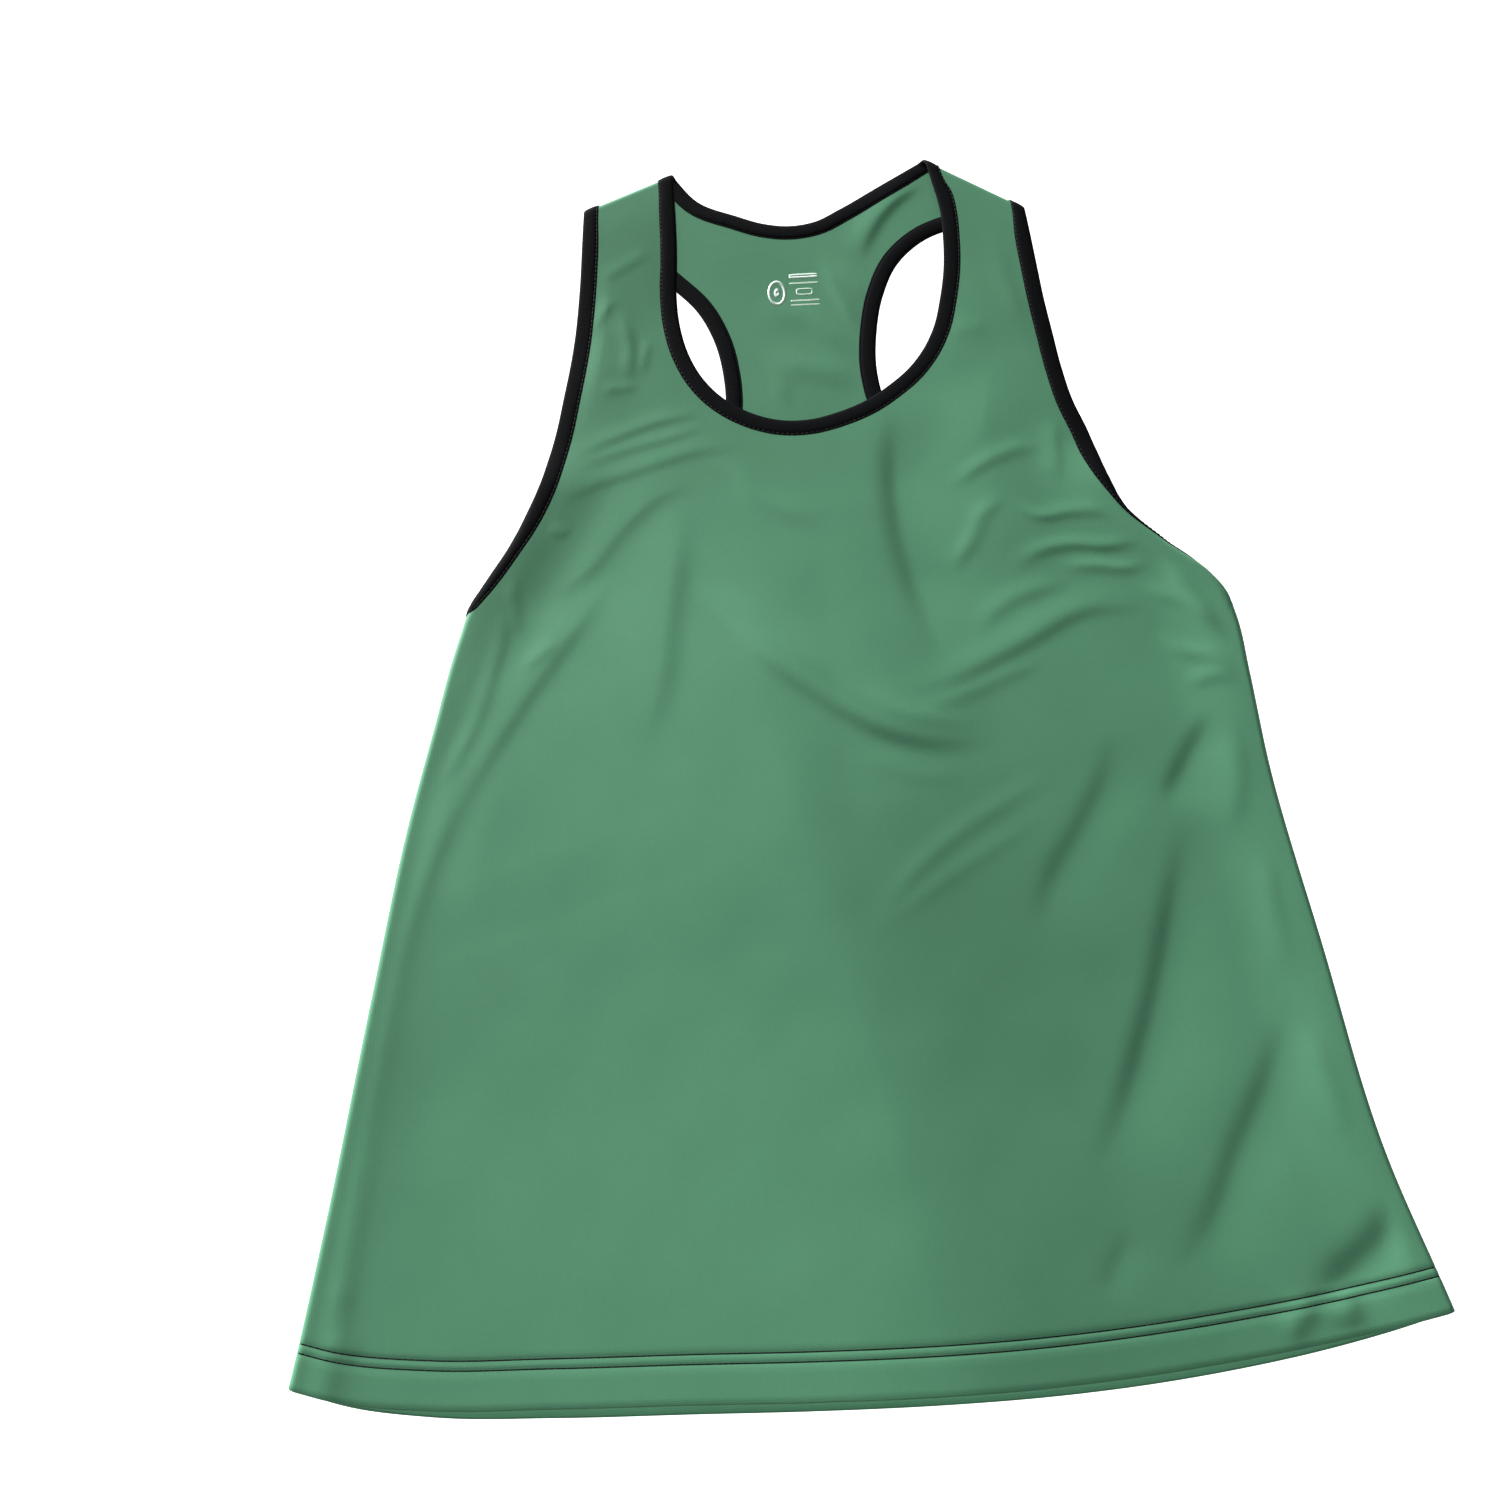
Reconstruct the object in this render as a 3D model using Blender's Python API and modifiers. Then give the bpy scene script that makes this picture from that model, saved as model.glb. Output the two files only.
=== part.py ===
"""Sleeveless racerback sports top, laid flat on its back with the front upwards.

It is made the way the real one is sewn: a front and a back in thin knit, each with its hem
turned up inside, folded tape round the neck and folded tape round each armhole.

Every piece is drawn in the cloth's own flat plane, in millimetres: x across from the middle,
y up from the lowest point of the hem. The skin functions then roll that plane over the side
folds and the shoulder folds and give it its height, so tape and panels always fit.
"""
import math

import bpy
import numpy as np

# ---------------------------------------------------------------- driving sizes, millimetres
MM = 0.001
WALL = 1.0             # one layer of cloth
GAP = 0.3              # between pieces that are sewn together
TAPE_WIDTH = 10.0      # finished width of the folded tape
HEM_DEPTH = 25.0       # depth of the turned-up hem
FRONT_HEM_RISE = 2.5   # how far the front's hem lies above the back's, in the middle
FOLD_RADIUS = 3.0      # outer radius of the soft fold at the sides and shoulders
FOLD_SPREAD = 30.0     # how far in from a side fold the front comes down to rest
LOFT = 0.5             # air between the two layers where nothing lifts the front
UNDERARM_LEFT = 418.0  # height of the armhole's lowest point on each side
UNDERARM_RIGHT = 402.0

TAPE_LIFT = WALL + GAP          # what a layer of tape under a panel lifts it by
TAPE_FOLD = WALL + 2 * GAP      # from the raw edge out to the outer face of the tape's fold
STACK = WALL + 2 * TAPE_LIFT    # panel with tape on both faces
QUARTER = FOLD_RADIUS * math.pi / 2
HEM_TURN = WALL + 0.25          # radius of the hem's fold, to the cloth's outer face
HEM_SHORT = 0.984               # the turned-up layer is this much narrower, inside the folds
SEAM_SET = GAP / 2 + 0.3        # from a seam to each panel's edge, whose walls lean together

# Side folds: where the front starts to roll over, and how far past it the side seam lies.
# Above the underarms the lines run clear of the cloth.
#   height, left, right, reach on the left, reach on the right
SIDE_FOLDS = [
    (0, -277.0, 276.5, QUARTER, QUARTER),
    (20, -272.0, 272.0, QUARTER, QUARTER),
    (100, -255.0, 252.0, QUARTER, QUARTER),
    (200, -236.0, 240.0, QUARTER, QUARTER),
    (300, -216.0, 229.0, QUARTER, QUARTER),
    (350, -203.0, 227.0, QUARTER, QUARTER),
    (385, -194.0, 225.0, 5.0, 6.0),
    (398, -190.0, 222.0, 5.6, 8.5),
    (410, -186.0, 214.0, 7.5, 11.5),
    (430, -174.0, 192.0, 10.5, 12.5),
    (450, -161.5, 174.5, 11.0, 12.5),
    (470, -152.5, 167.0, 11.0, 12.5),
    (490, -147.0, 163.5, 11.0, 12.5),
    (515, -146.0, 165.0, 11.0, 12.5),
    (560, -150.0, 172.0, 11.0, 12.5),
    (700, -190.0, 215.0, 11.0, 12.5),
]

# The back's hem line: x, height.
HEM_LINE = [
    (-279, 28.0), (-250, 19.5), (-209, 13.0), (-150, 8.5), (-84, 5.5), (-30, 2.2), (30, 0.2),
    (80, 0.7), (126, 4.0), (169, 8.0), (213, 13.5), (250, 19.5), (279, 26.0),
]

# Ends of the two shoulder seams: at the armhole, at the neck.
SHOULDERS = {
    "left": ((-118.5, 668.5), (-64.5, 691.5)),
    "right": ((143.5, 655.5), (87.0, 693.5)),
}

# Finished edges, as x, height. Each runs with the cloth on its right-hand side.
FRONT_ARMHOLE_LEFT = [
    (-192, 418), (-181, 431), (-169, 448), (-157.5, 466), (-149, 484), (-143, 503),
    (-138, 522), (-134, 541), (-130, 560), (-126.5, 580), (-124, 600), (-122, 621),
    (-120.5, 642), SHOULDERS["left"][0],
]
FRONT_ARMHOLE_RIGHT = [
    SHOULDERS["right"][0], (145, 635), (146.5, 612), (148, 590), (150.5, 566), (153, 543),
    (156.5, 522), (162, 503), (167, 486), (173, 469), (182.5, 451), (202, 431),
    (217, 417), (230, 402),
]
FRONT_NECK = [
    SHOULDERS["left"][1], (-64, 660), (-64.5, 630), (-66, 605), (-65, 585), (-61, 566),
    (-54, 550), (-44, 537), (-29, 526), (-11, 519.5), (6, 519), (23, 523), (38, 529),
    (52, 538), (65, 549), (75, 562), (82, 576), (87, 593), (91, 612), (93, 634),
    (93, 655), (90, 675), SHOULDERS["right"][1],
]
BACK_ARMHOLE_LEFT = [
    (-181, 419), (-160, 425), (-128, 434), (-96, 450), (-68, 474), (-49, 503), (-42, 530),
    (-42, 552), (-46, 575), (-55, 596), (-70, 614), (-90, 635), (-107, 655),
    SHOULDERS["left"][0],
]
BACK_ARMHOLE_RIGHT = [
    SHOULDERS["right"][0], (127, 651), (104, 645), (83, 637), (66, 622), (55, 600),
    (49, 575), (47, 553), (50, 528), (60, 500), (78, 474), (104, 456), (132, 443),
    (160, 431), (184, 418), (204, 407), (221, 402),
]
BACK_NECK = [
    SHOULDERS["left"][1], (-50, 672), (-28, 661), (-12, 654.5), (3, 652), (18, 654),
    (34, 662), (56, 675), SHOULDERS["right"][1],
]

# Largest folds of the front: path of three points, the spread of each side, the height.
#   start, middle, end, spread on its left, spread on its right, height
LARGE_FOLDS = [
    ("broad ridge", (-12, 395), (12, 200), (40, -20), 105, 75, 7.5),
    ("left trough", (-120, 390), (-205, 240), (-233, 60), 20, 30, -1.6),
    ("left chest ridge", (-80, 455), (-110, 390), (-160, 330), 26, 26, 3.0),
    ("swag trough", (-15, 400), (40, 335), (115, 330), 18, 26, -3.0),
    ("right drag ridge", (60, 375), (130, 392), (205, 400), 20, 18, 3.0),
    ("right flank ridge", (205, 345), (160, 200), (115, 60), 24, 30, 4.0),
    ("right hem ridge", (222, 250), (196, 130), (160, 20), 20, 26, 3.5),
    ("shoulder blade ridge", (-118, 610), (-100, 560), (-108, 500), 22, 26, 2.0),
]

# Where one thing gives way to another: how far from an edge it starts, over what distance.
EASES = {
    "shoulder seam": (7, 16),          # the way in from an edge turns to run along the seam
    "tape underneath": (30, 20),       # the back comes down off its tape
    "edge lying on the back": (30, 25),
    "edge lying on the surface": (22, 28),
    "own tape": (18, 16),              # the front comes down off its tape
    "hem": (39, 30),                   # the front comes down off both turned-up hems
    "bound edge": (0, 60),             # the large folds fade towards it
    "above an underarm": (45, 40),     # the side fold ends
}
MIDDLE_X = 5.0                         # parts the left half from the right one

# Grid of a panel. Columns: distances in from an outer edge and from the neck, and the number
# of steps between. Rows: heights in the hem, and the number of steps up to the underarms, to
# the foot of the neck and to the shoulders.
RIM = (0.7, 1.9, 3.4, 5.1, 6.9, 8.7)
NECK_RIM = (0.6, 4.4, 8.7)
HEM_ROWS = (0, 12.5, 25.0)
SHOULDER_ROWS = (4.4, 2.9, 1.4, 0)     # distances from the shoulder seam
HEM_ANGLES = (120, 60)                 # points round the hem's fold, degrees
BODY_STEPS = 16
FIRST_TAPE = 8.0                       # first row on an armhole, from the side seam
TAPE_FAN = (0, 0.2, 0.4, 0.6, 0.8)     # the tape's turn towards the side seam, in shares
PROBE = 0.3                            # step for measuring a slope of the cloth
LINE_PROBE = 2.0                       # step for measuring a slope of the side folds
OUTLINE_STEPS = 20                     # points up each side of the back's outline
FOLD_STEPS = 13                        # points along a large fold
BELOW = 40.0                           # the back's outline closes this far below the hem
FOLD_ENDS = 0.7                        # power of a large fold's fading at its ends
ROW_CROWDING = 1.4                     # powers that crowd the rows towards the underarms
CHEST_CROWDING = 1.2
CHEST_DROP = 12.0                      # from the first chest row down to the line's foot
SAG_SHARE = 0.4                        # share of the body's height that follows the hem's curve
FOLD_CORNER = 0.4                      # how far the tape's fold stands over each face
UNDERARMS = {"arm_left": (0, UNDERARM_LEFT), "arm_right": (1, UNDERARM_RIGHT)}

# What differs between the panels: edges, where the two lines from the hem meet the neck, where
# they start, their height at the underarms, the armhole's share below the neck's foot.
PANELS = {
    "front": {
        "arm_left": FRONT_ARMHOLE_LEFT, "neck": FRONT_NECK, "arm_right": FRONT_ARMHOLE_RIGHT,
        "turns": (6, 14), "feet": (-95, 115), "waist": 440, "below": (0.58, 0.61),
        "side": 6, "middle": 7, "chest": 10, "strap": 6,
    },
    "back": {
        "arm_left": BACK_ARMHOLE_LEFT, "neck": BACK_NECK, "arm_right": BACK_ARMHOLE_RIGHT,
        "turns": (3, 5), "feet": (-30, 38), "waist": 395, "below": (0.72, 0.76),
        "side": 3, "middle": 3, "chest": 10, "strap": 5,
    },
}

GREEN = (0.089, 0.227, 0.134, 1.0)
BLACK = (0.004, 0.004, 0.005, 1.0)


# ---------------------------------------------------------------- curves
def unit(vector):
    return vector / np.linalg.norm(vector)


def ease(value):
    """0 below 0, 1 above 1, and a smooth step between."""
    value = np.clip(value, 0.0, 1.0)
    return value * value * (3 - 2 * value)


def nearness(name, distance):
    """1 at an edge and 0 away from it, with the slope that EASES gives."""
    start, length = EASES[name]
    return 1 - ease((distance - start) / length)


def smooth_rows(rows, at):
    """Read a table at any value of its first column, through a smooth curve."""
    rows = np.array(rows, float)
    knots, values = rows[:, 0], rows[:, 1:]
    slopes = np.gradient(values, knots, axis=0)
    at = np.asarray(at, float)
    i = np.clip(np.searchsorted(knots, at) - 1, 0, len(knots) - 2)
    step = (knots[i + 1] - knots[i])[..., None]
    t = np.clip((at - knots[i])[..., None] / step, 0.0, 1.0)
    return ((1 + 2 * t) * (1 - t) ** 2 * values[i] + t * (1 - t) ** 2 * step * slopes[i]
            + t * t * (3 - 2 * t) * values[i + 1] + t * t * (t - 1) * step * slopes[i + 1])


def lengths(points):
    """Distance run along a list of points."""
    steps = np.linalg.norm(np.diff(np.array(points, float), axis=0), axis=1)
    return np.concatenate([[0.0], np.cumsum(steps)])


def edge_frame(points, run):
    """Raw edge of the cloth at a distance run along a finished edge, and the way inwards.

    Near a shoulder the way inwards turns to run along the shoulder seam.
    """
    rows = np.column_stack([lengths(points), points])
    run = np.asarray(run, float)
    end = rows[-1, 0]
    tangent = smooth_rows(rows, np.minimum(run + 1, end))
    tangent -= smooth_rows(rows, np.maximum(run - 1, 0))
    tangent /= np.linalg.norm(tangent, axis=-1, keepdims=True)
    inward = np.stack([tangent[..., 1], -tangent[..., 0]], axis=-1)
    for outer, inner in SHOULDERS.values():
        seam = (np.array(inner) - outer) / math.dist(inner, outer)
        for mark, way in ((outer, seam), (inner, -seam)):
            for tip, away in ((points[0], run), (points[-1], end - run)):
                if tuple(tip) == tuple(mark):
                    turn = nearness("shoulder seam", away)[..., None]
                    inward = inward * (1 - turn) + way * turn
    inward /= np.linalg.norm(inward, axis=-1, keepdims=True)
    return smooth_rows(rows, run) + TAPE_LIFT * inward, inward


def distance_to(points, line):
    """Distance from each point to a line of points."""
    line = np.array(line, float)
    start, span = line[:-1], np.diff(line, axis=0)
    away = points[..., None, :] - start
    share = np.clip((away * span).sum(-1) / (span * span).sum(-1), 0, 1)
    return np.linalg.norm(away - share[..., None] * span, axis=-1).min(-1)


def inside(points, outline):
    """Whether each point lies inside a closed outline."""
    outline = np.array(outline, float)
    x, y = points[..., 0, None], points[..., 1, None]
    ax, ay = outline[:, 0], outline[:, 1]
    bx, by = np.roll(ax, -1), np.roll(ay, -1)
    crosses = (ay > y) != (by > y)
    at = ax + (y - ay) * (bx - ax) / np.where(by == ay, 1e-9, by - ay)
    return (crosses & (x < at)).sum(-1) % 2 == 1


def side_rows(heights):
    return smooth_rows(SIDE_FOLDS, heights)


def side_slants(heights):
    """Share of a step across in x that leads straight over each side fold."""
    heights = np.asarray(heights, float)
    slopes = side_rows(heights + LINE_PROBE) - side_rows(heights - LINE_PROBE)
    slopes = slopes[..., :2] / (2 * LINE_PROBE)
    return 1 / np.sqrt(1 + slopes ** 2)


# ---------------------------------------------------------------- how high the cloth lies
def fold_height(points):
    """Height that the large folds add to the front."""
    total = np.zeros(points.shape[:-1])
    for _, start, middle, end, left, right, height in LARGE_FOLDS:
        share = np.linspace(0, 1, FOLD_STEPS)[:, None]
        path = ((1 - share) ** 2 * np.array(start) + 2 * share * (1 - share) * np.array(middle)
                + share ** 2 * np.array(end))
        away = points[..., None, :] - path
        nearest = np.linalg.norm(away, axis=-1).argmin(-1)
        tangent = np.gradient(path, axis=0)
        tangent /= np.linalg.norm(tangent, axis=1, keepdims=True)
        offset = np.take_along_axis(away, nearest[..., None, None], axis=-2)[..., 0, :]
        way = tangent[nearest]
        across = offset[..., 0] * way[..., 1] - offset[..., 1] * way[..., 0]
        beyond = (offset * way).sum(-1)
        flip = 1 if path[-1, 1] > path[0, 1] else -1
        spread = np.where(across * flip < 0, left, right)
        fade = np.sin(np.pi * np.clip((nearest + 0.5) / len(path), 0, 1)) ** FOLD_ENDS
        total += height * fade * np.exp(-(across / spread) ** 2 - (beyond / (left + right)) ** 2)
    return total


def back_underside(points):
    """Height of the lowest cloth: on the surface, and on its tape near a bound edge."""
    near = np.min([distance_to(points, line) for line in
                   (BACK_ARMHOLE_LEFT, BACK_ARMHOLE_RIGHT, BACK_NECK, FRONT_ARMHOLE_LEFT,
                    FRONT_ARMHOLE_RIGHT)], axis=0)
    return TAPE_LIFT * nearness("tape underneath", near)


def front_topside(points):
    """Height of the front's outer face where it lies on the back, the tape or the surface."""
    left, right = (np.linspace(HEM_LINE[0][1], low, OUTLINE_STEPS) for low in
                   (UNDERARM_LEFT, UNDERARM_RIGHT))
    left, right = (np.column_stack([side_rows(up)[:, column], up]) for column, up in
                   enumerate((left, right)))
    below = [(HEM_LINE[-1][0], -BELOW), (HEM_LINE[0][0], -BELOW)]
    outline = np.concatenate([left, BACK_ARMHOLE_LEFT, BACK_NECK, BACK_ARMHOLE_RIGHT,
                              right[::-1], below])
    edges = np.min([distance_to(points, line) for line in
                    (BACK_ARMHOLE_LEFT, BACK_ARMHOLE_RIGHT, BACK_NECK)], axis=0)
    within = inside(points, outline)
    on_back = WALL + (STACK - WALL) * nearness("edge lying on the back", edges)
    on_surface = STACK * nearness("edge lying on the surface", edges)
    support = np.where(within, on_back, on_surface)
    own = np.min([distance_to(points, line) for line in
                  (FRONT_ARMHOLE_LEFT, FRONT_ARMHOLE_RIGHT, FRONT_NECK)], axis=0)
    rest = support + GAP + TAPE_LIFT * nearness("own tape", own) + WALL
    above_hem = points[..., 1] - smooth_rows(HEM_LINE, points[..., 0])[..., 0]
    rest = rest + 2 * TAPE_LIFT * nearness("hem", above_hem)
    rest = rest + (LOFT + fold_height(points)).clip(0) * (1 - nearness("bound edge", own))
    sides = side_rows(points[..., 1])
    from_fold = np.minimum(points[..., 0] - sides[..., 0], sides[..., 1] - points[..., 0])
    folded = 1 - ease(from_fold / FOLD_SPREAD)
    low = np.where(points[..., 0] < 0, UNDERARM_LEFT, UNDERARM_RIGHT)
    folded = folded * nearness("above an underarm", points[..., 1] - low)
    over_line = np.stack([np.where(points[..., 0] < 0, sides[..., 0], sides[..., 1]),
                          points[..., 1]], axis=-1)
    at_fold = back_underside(over_line) + 2 * FOLD_RADIUS
    below = -np.max([shoulder_beyond(points, side)[0] for side in SHOULDERS], axis=0)
    shoulder = 1 - ease(below / FOLD_SPREAD)
    top = rest * (1 - folded) + at_fold * folded
    return top * (1 - shoulder) + (TAPE_LIFT + 2 * FOLD_RADIUS) * shoulder


# ---------------------------------------------------------------- rolling over the folds
def shoulder_beyond(points, side):
    """How far each point lies past the line where a shoulder starts to roll, and the way."""
    outer, inner = (np.array(end, float) for end in SHOULDERS[side])
    line = (inner - outer) / np.linalg.norm(inner - outer)
    up = np.array([-line[1], line[0]])
    up = up if up[1] > 0 else -up
    beyond = (points - outer) @ up + QUARTER
    left_half = points[..., 0] < MIDDLE_X
    return np.where(left_half == (side == "left"), beyond, -np.inf), up


def roll(past):
    """Travel and fall of cloth that runs this far past the start of a fold."""
    angle = np.clip(past / FOLD_RADIUS, 0, math.pi)
    under = np.clip(past - math.pi * FOLD_RADIUS, 0, None)
    return FOLD_RADIUS * np.sin(angle) - under, FOLD_RADIUS * (1 - np.cos(angle))


def skin(points, face):
    """Place flat points of the front or the back in space, on the cloth's outer face."""
    flat = np.array(points, float)
    base, placed = flat.copy(), flat.copy()
    fall = np.zeros(flat.shape[:-1])
    sides, slants = side_rows(flat[..., 1]), side_slants(flat[..., 1])
    for column, way in ((0, -1), (1, 1)):
        line, slant = sides[..., column], slants[..., column]
        past = (flat[..., 0] - line) * way * slant
        travel, drop = roll(past)
        base[..., 0] = np.where(past > 0, line, base[..., 0])
        placed[..., 0] = np.where(past > 0, line + way * travel / slant, placed[..., 0])
        fall += drop
    for side in SHOULDERS:
        past, up = shoulder_beyond(flat, side)
        travel, drop = roll(past)
        shift = np.where(past > 0, past, 0)[..., None] * up
        base -= shift
        placed += np.where(past > 0, travel, 0)[..., None] * up - shift
        fall += drop
    if face == "front":
        height = front_topside(base) - fall
    else:
        height = back_underside(base) + fall
    return np.concatenate([placed, height[..., None]], axis=-1)


def skin_moved(points, face, lift):
    """Points on a panel's outer face, moved out from the cloth by lift."""
    points = np.array(points, float)
    spans = [skin(points + step, face) - skin(points - step, face)
             for step in (np.array([PROBE, 0]), np.array([0, PROBE]))]
    normal = np.cross(spans[0], spans[1])
    normal /= np.linalg.norm(normal, axis=-1, keepdims=True)
    out = normal if face == "front" else -normal
    return skin(points, face) + np.asarray(lift, float)[..., None] * out


# ---------------------------------------------------------------- panels
def hem_height(x, face):
    x = np.asarray(x, float)
    rise = FRONT_HEM_RISE * (1 - np.clip(abs(x) / 270, 0, 1) ** 4) if face == "front" else 0
    return smooth_rows(HEM_LINE, x)[..., 0] + rise + HEM_TURN


def seam_point(height, column, face):
    """Point of a side seam, in the panel's own flat plane; column 0 is left, 1 is right."""
    way = (-1, 1)[column]
    row = side_rows(height)
    past = row[2 + column]
    if face == "back":
        past = math.pi * FOLD_RADIUS / side_slants(height)[column] - past
    return np.array([row[column] + way * (past - SEAM_SET), height])


def along_edge(points, tip, away):
    """Distance along an edge from its tip at a shoulder, for distances from the seam."""
    ends = (points[0], points[1]) if tip == 0 else (points[-1], points[-2])
    outer, inner = SHOULDERS["left" if ends[0][0] < MIDDLE_X else "right"]
    seam, edge = unit(np.subtract(inner, outer)), unit(np.subtract(ends[1], ends[0]))
    return np.asarray(away, float) / abs(seam[0] * edge[1] - seam[1] * edge[0])


def edge_runs(face):
    """Distances along the armholes and the neck where the panel has a row or a column."""
    panel = PANELS[face]
    tips = SEAM_SET + np.array(SHOULDER_ROWS)
    runs = {}
    for name, share, tip in (("arm_left", panel["below"][0], -1),
                             ("arm_right", panel["below"][1], 0)):
        total = lengths(panel[name])[-1]
        ends = total - along_edge(panel[name], tip, tips)
        crowded = np.linspace(0, 1, panel["chest"]) ** CHEST_CROWDING
        chest = FIRST_TAPE + (share * total - FIRST_TAPE) * crowded
        strap = np.linspace(share * total, ends[0], panel["strap"] + 1)[1:]
        up = np.concatenate([chest, strap, ends[1:]])
        runs[name] = total - up if tip == 0 else up
    neck = lengths(panel["neck"])
    left, right = (neck[turn] for turn in panel["turns"])
    for name, start, tip in (("neck_left", left, 0), ("neck_right", right, -1)):
        ends = along_edge(panel["neck"], tip, tips)
        ends = ends if tip == 0 else neck[-1] - ends
        strap = np.linspace(start, ends[0], panel["strap"] + 1)
        runs[name] = np.concatenate([strap, ends[1:]])
    runs["arc"] = np.linspace(left, right, panel["middle"] + 1)
    return runs


def block(outer, outer_way, inner, inner_way, steps):
    """Points of one row, from a rim at its outer edge to a rim at the neck or the line below."""
    rim = [outer + s * outer_way for s in RIM]
    neck = [inner + s * inner_way for s in NECK_RIM[::-1]]
    between = [rim[-1] + (neck[0] - rim[-1]) * g for g in np.linspace(0, 1, steps + 1)[1:-1]]
    return rim + between + neck


def panel_lines(face):
    """Flat points of a panel: whole rows up to the foot of the neck, then the two straps."""
    panel, runs = PANELS[face], edge_runs(face)
    sides = (np.array([1.0, 0.0]), np.array([-1.0, 0.0]))
    arms = [edge_frame(panel["arm_left"], runs["arm_left"]),
            edge_frame(panel["arm_right"], runs["arm_right"])]
    necks = [edge_frame(panel["neck"], runs["neck_left"]),
             edge_frame(panel["neck"], runs["neck_right"])]
    arc = edge_frame(panel["neck"], runs["arc"])[0]
    feet = [np.array([x, hem_height(x, face)]) for x in panel["feet"]]
    tops = [necks[0][0][0], necks[1][0][0]]
    waists = [foot + (top - foot) * (panel["waist"] - foot[1]) / (top[1] - foot[1])
              for foot, top in zip(feet, tops)]
    rows = []
    heights = [(rise, 0.0) for rise in HEM_ROWS]
    heights += [(HEM_DEPTH, 1 - (1 - g) ** ROW_CROWDING)
                for g in np.linspace(0, 1, BODY_STEPS + 1)[1:]]
    for rise, share in heights:
        row = []
        for column, low in ((0, UNDERARM_LEFT), (1, UNDERARM_RIGHT)):
            start = hem_height(side_rows(HEM_DEPTH)[column], face)
            height = start + rise + share * (low - start - HEM_DEPTH)
            foot, waist = feet[column], waists[column]
            line = foot + (waist - foot) * (rise + share * (waist[1] - foot[1] - HEM_DEPTH)) / (
                waist[1] - foot[1])
            way = sides[column]
            if share == 1:
                way = unit(way + arms[column][1][0])
            row.append((seam_point(height, column, face), way, line, -sides[column]))
        rows.append(row)
    chest = panel["chest"]
    for n in range(len(arms[0][0])):
        row = []
        for column in (0, 1):
            edge, way = arms[column][0][n], arms[column][1][n]
            if n < chest:
                heights_up = arms[column][0][:chest, 1]
                low = heights_up[0] - CHEST_DROP
                share = (heights_up[n] - low) / (heights_up[-1] - low)
                line = waists[column] + (tops[column] - waists[column]) * share
                neck_way = -sides[column]
                if n == chest - 1:
                    line, neck_way = tops[column], unit(neck_way + necks[column][1][0])
            else:
                line, neck_way = (part[n - chest + 1] for part in necks[column])
            row.append((edge, way, line, neck_way))
        rows.append(row)
    whole = len(heights) + chest
    lines = []
    for number, (left, right) in enumerate(rows):
        west = block(*left, panel["side"])
        east = block(*right, panel["side"])[::-1]
        middle = []
        if number < whole:
            top = (number / (whole - 1)) ** 2
            shares = np.linspace(0, 1, panel["middle"] + 1)
            chord = [tops[0] * (1 - g) + tops[1] * g for g in shares]
            middle = [west[-1] * (1 - g) + east[0] * g + (arc[k] - chord[k]) * top
                      for k, g in enumerate(shares)][1:-1]
        line = np.array(west + middle + east)
        if number < len(heights):
            anchors = np.array([rows[0][0][0], rows[0][0][2], rows[0][1][2], rows[0][1][0]])
            rise, share = heights[number]
            sag = hem_height(line[:, 0], face) - np.interp(line[:, 0], anchors[:, 0], anchors[:, 1])
            line[:, 1] += sag * (1 - ease(share / SAG_SHARE))
        lines.append(line)
    return lines, whole, len(west)


def add_piece(name, faces, vertices, material, collection):
    mesh = bpy.data.meshes.new(name)
    mesh.from_pydata([tuple(point) for point in vertices], [], faces)
    mesh.materials.append(material)
    piece = bpy.data.objects.new(name, mesh)
    collection.objects.link(piece)
    wall = piece.modifiers.new("wall", "SOLIDIFY")
    wall.thickness = WALL * MM
    wall.offset = -1
    mesh.shade_smooth()
    mesh.set_sharp_from_angle(angle=math.radians(50))
    return piece


def ladder(low, high, rises, insets, flip=False):
    """Triangles between two rows of points.

    Panel and tape are cut along the same diagonals, so that one fits on the other.
    """
    faces = []
    for c in range(len(low) - 1):
        a, b, d, e = low[c], low[c + 1], high[c], high[c + 1]
        leans = rises * (insets[c + 1] - insets[c]) > 0
        faces += [(a, b, d), (b, e, d)] if leans else [(a, b, e), (a, e, d)]
    return [face[::-1] for face in faces] if flip else faces


def grid_faces(levels, insets, closed=False, flip=False):
    """Triangles of rows at the levels given; closed joins the last row to the first."""
    width, rows = len(insets), len(levels)
    faces = []
    for r in range(rows if closed else rows - 1):
        after = (r + 1) % rows
        low, high = (range(n * width, (n + 1) * width) for n in (r, after))
        faces += ladder(low, high, levels[after] - levels[r], insets, flip)
    return faces


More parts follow.
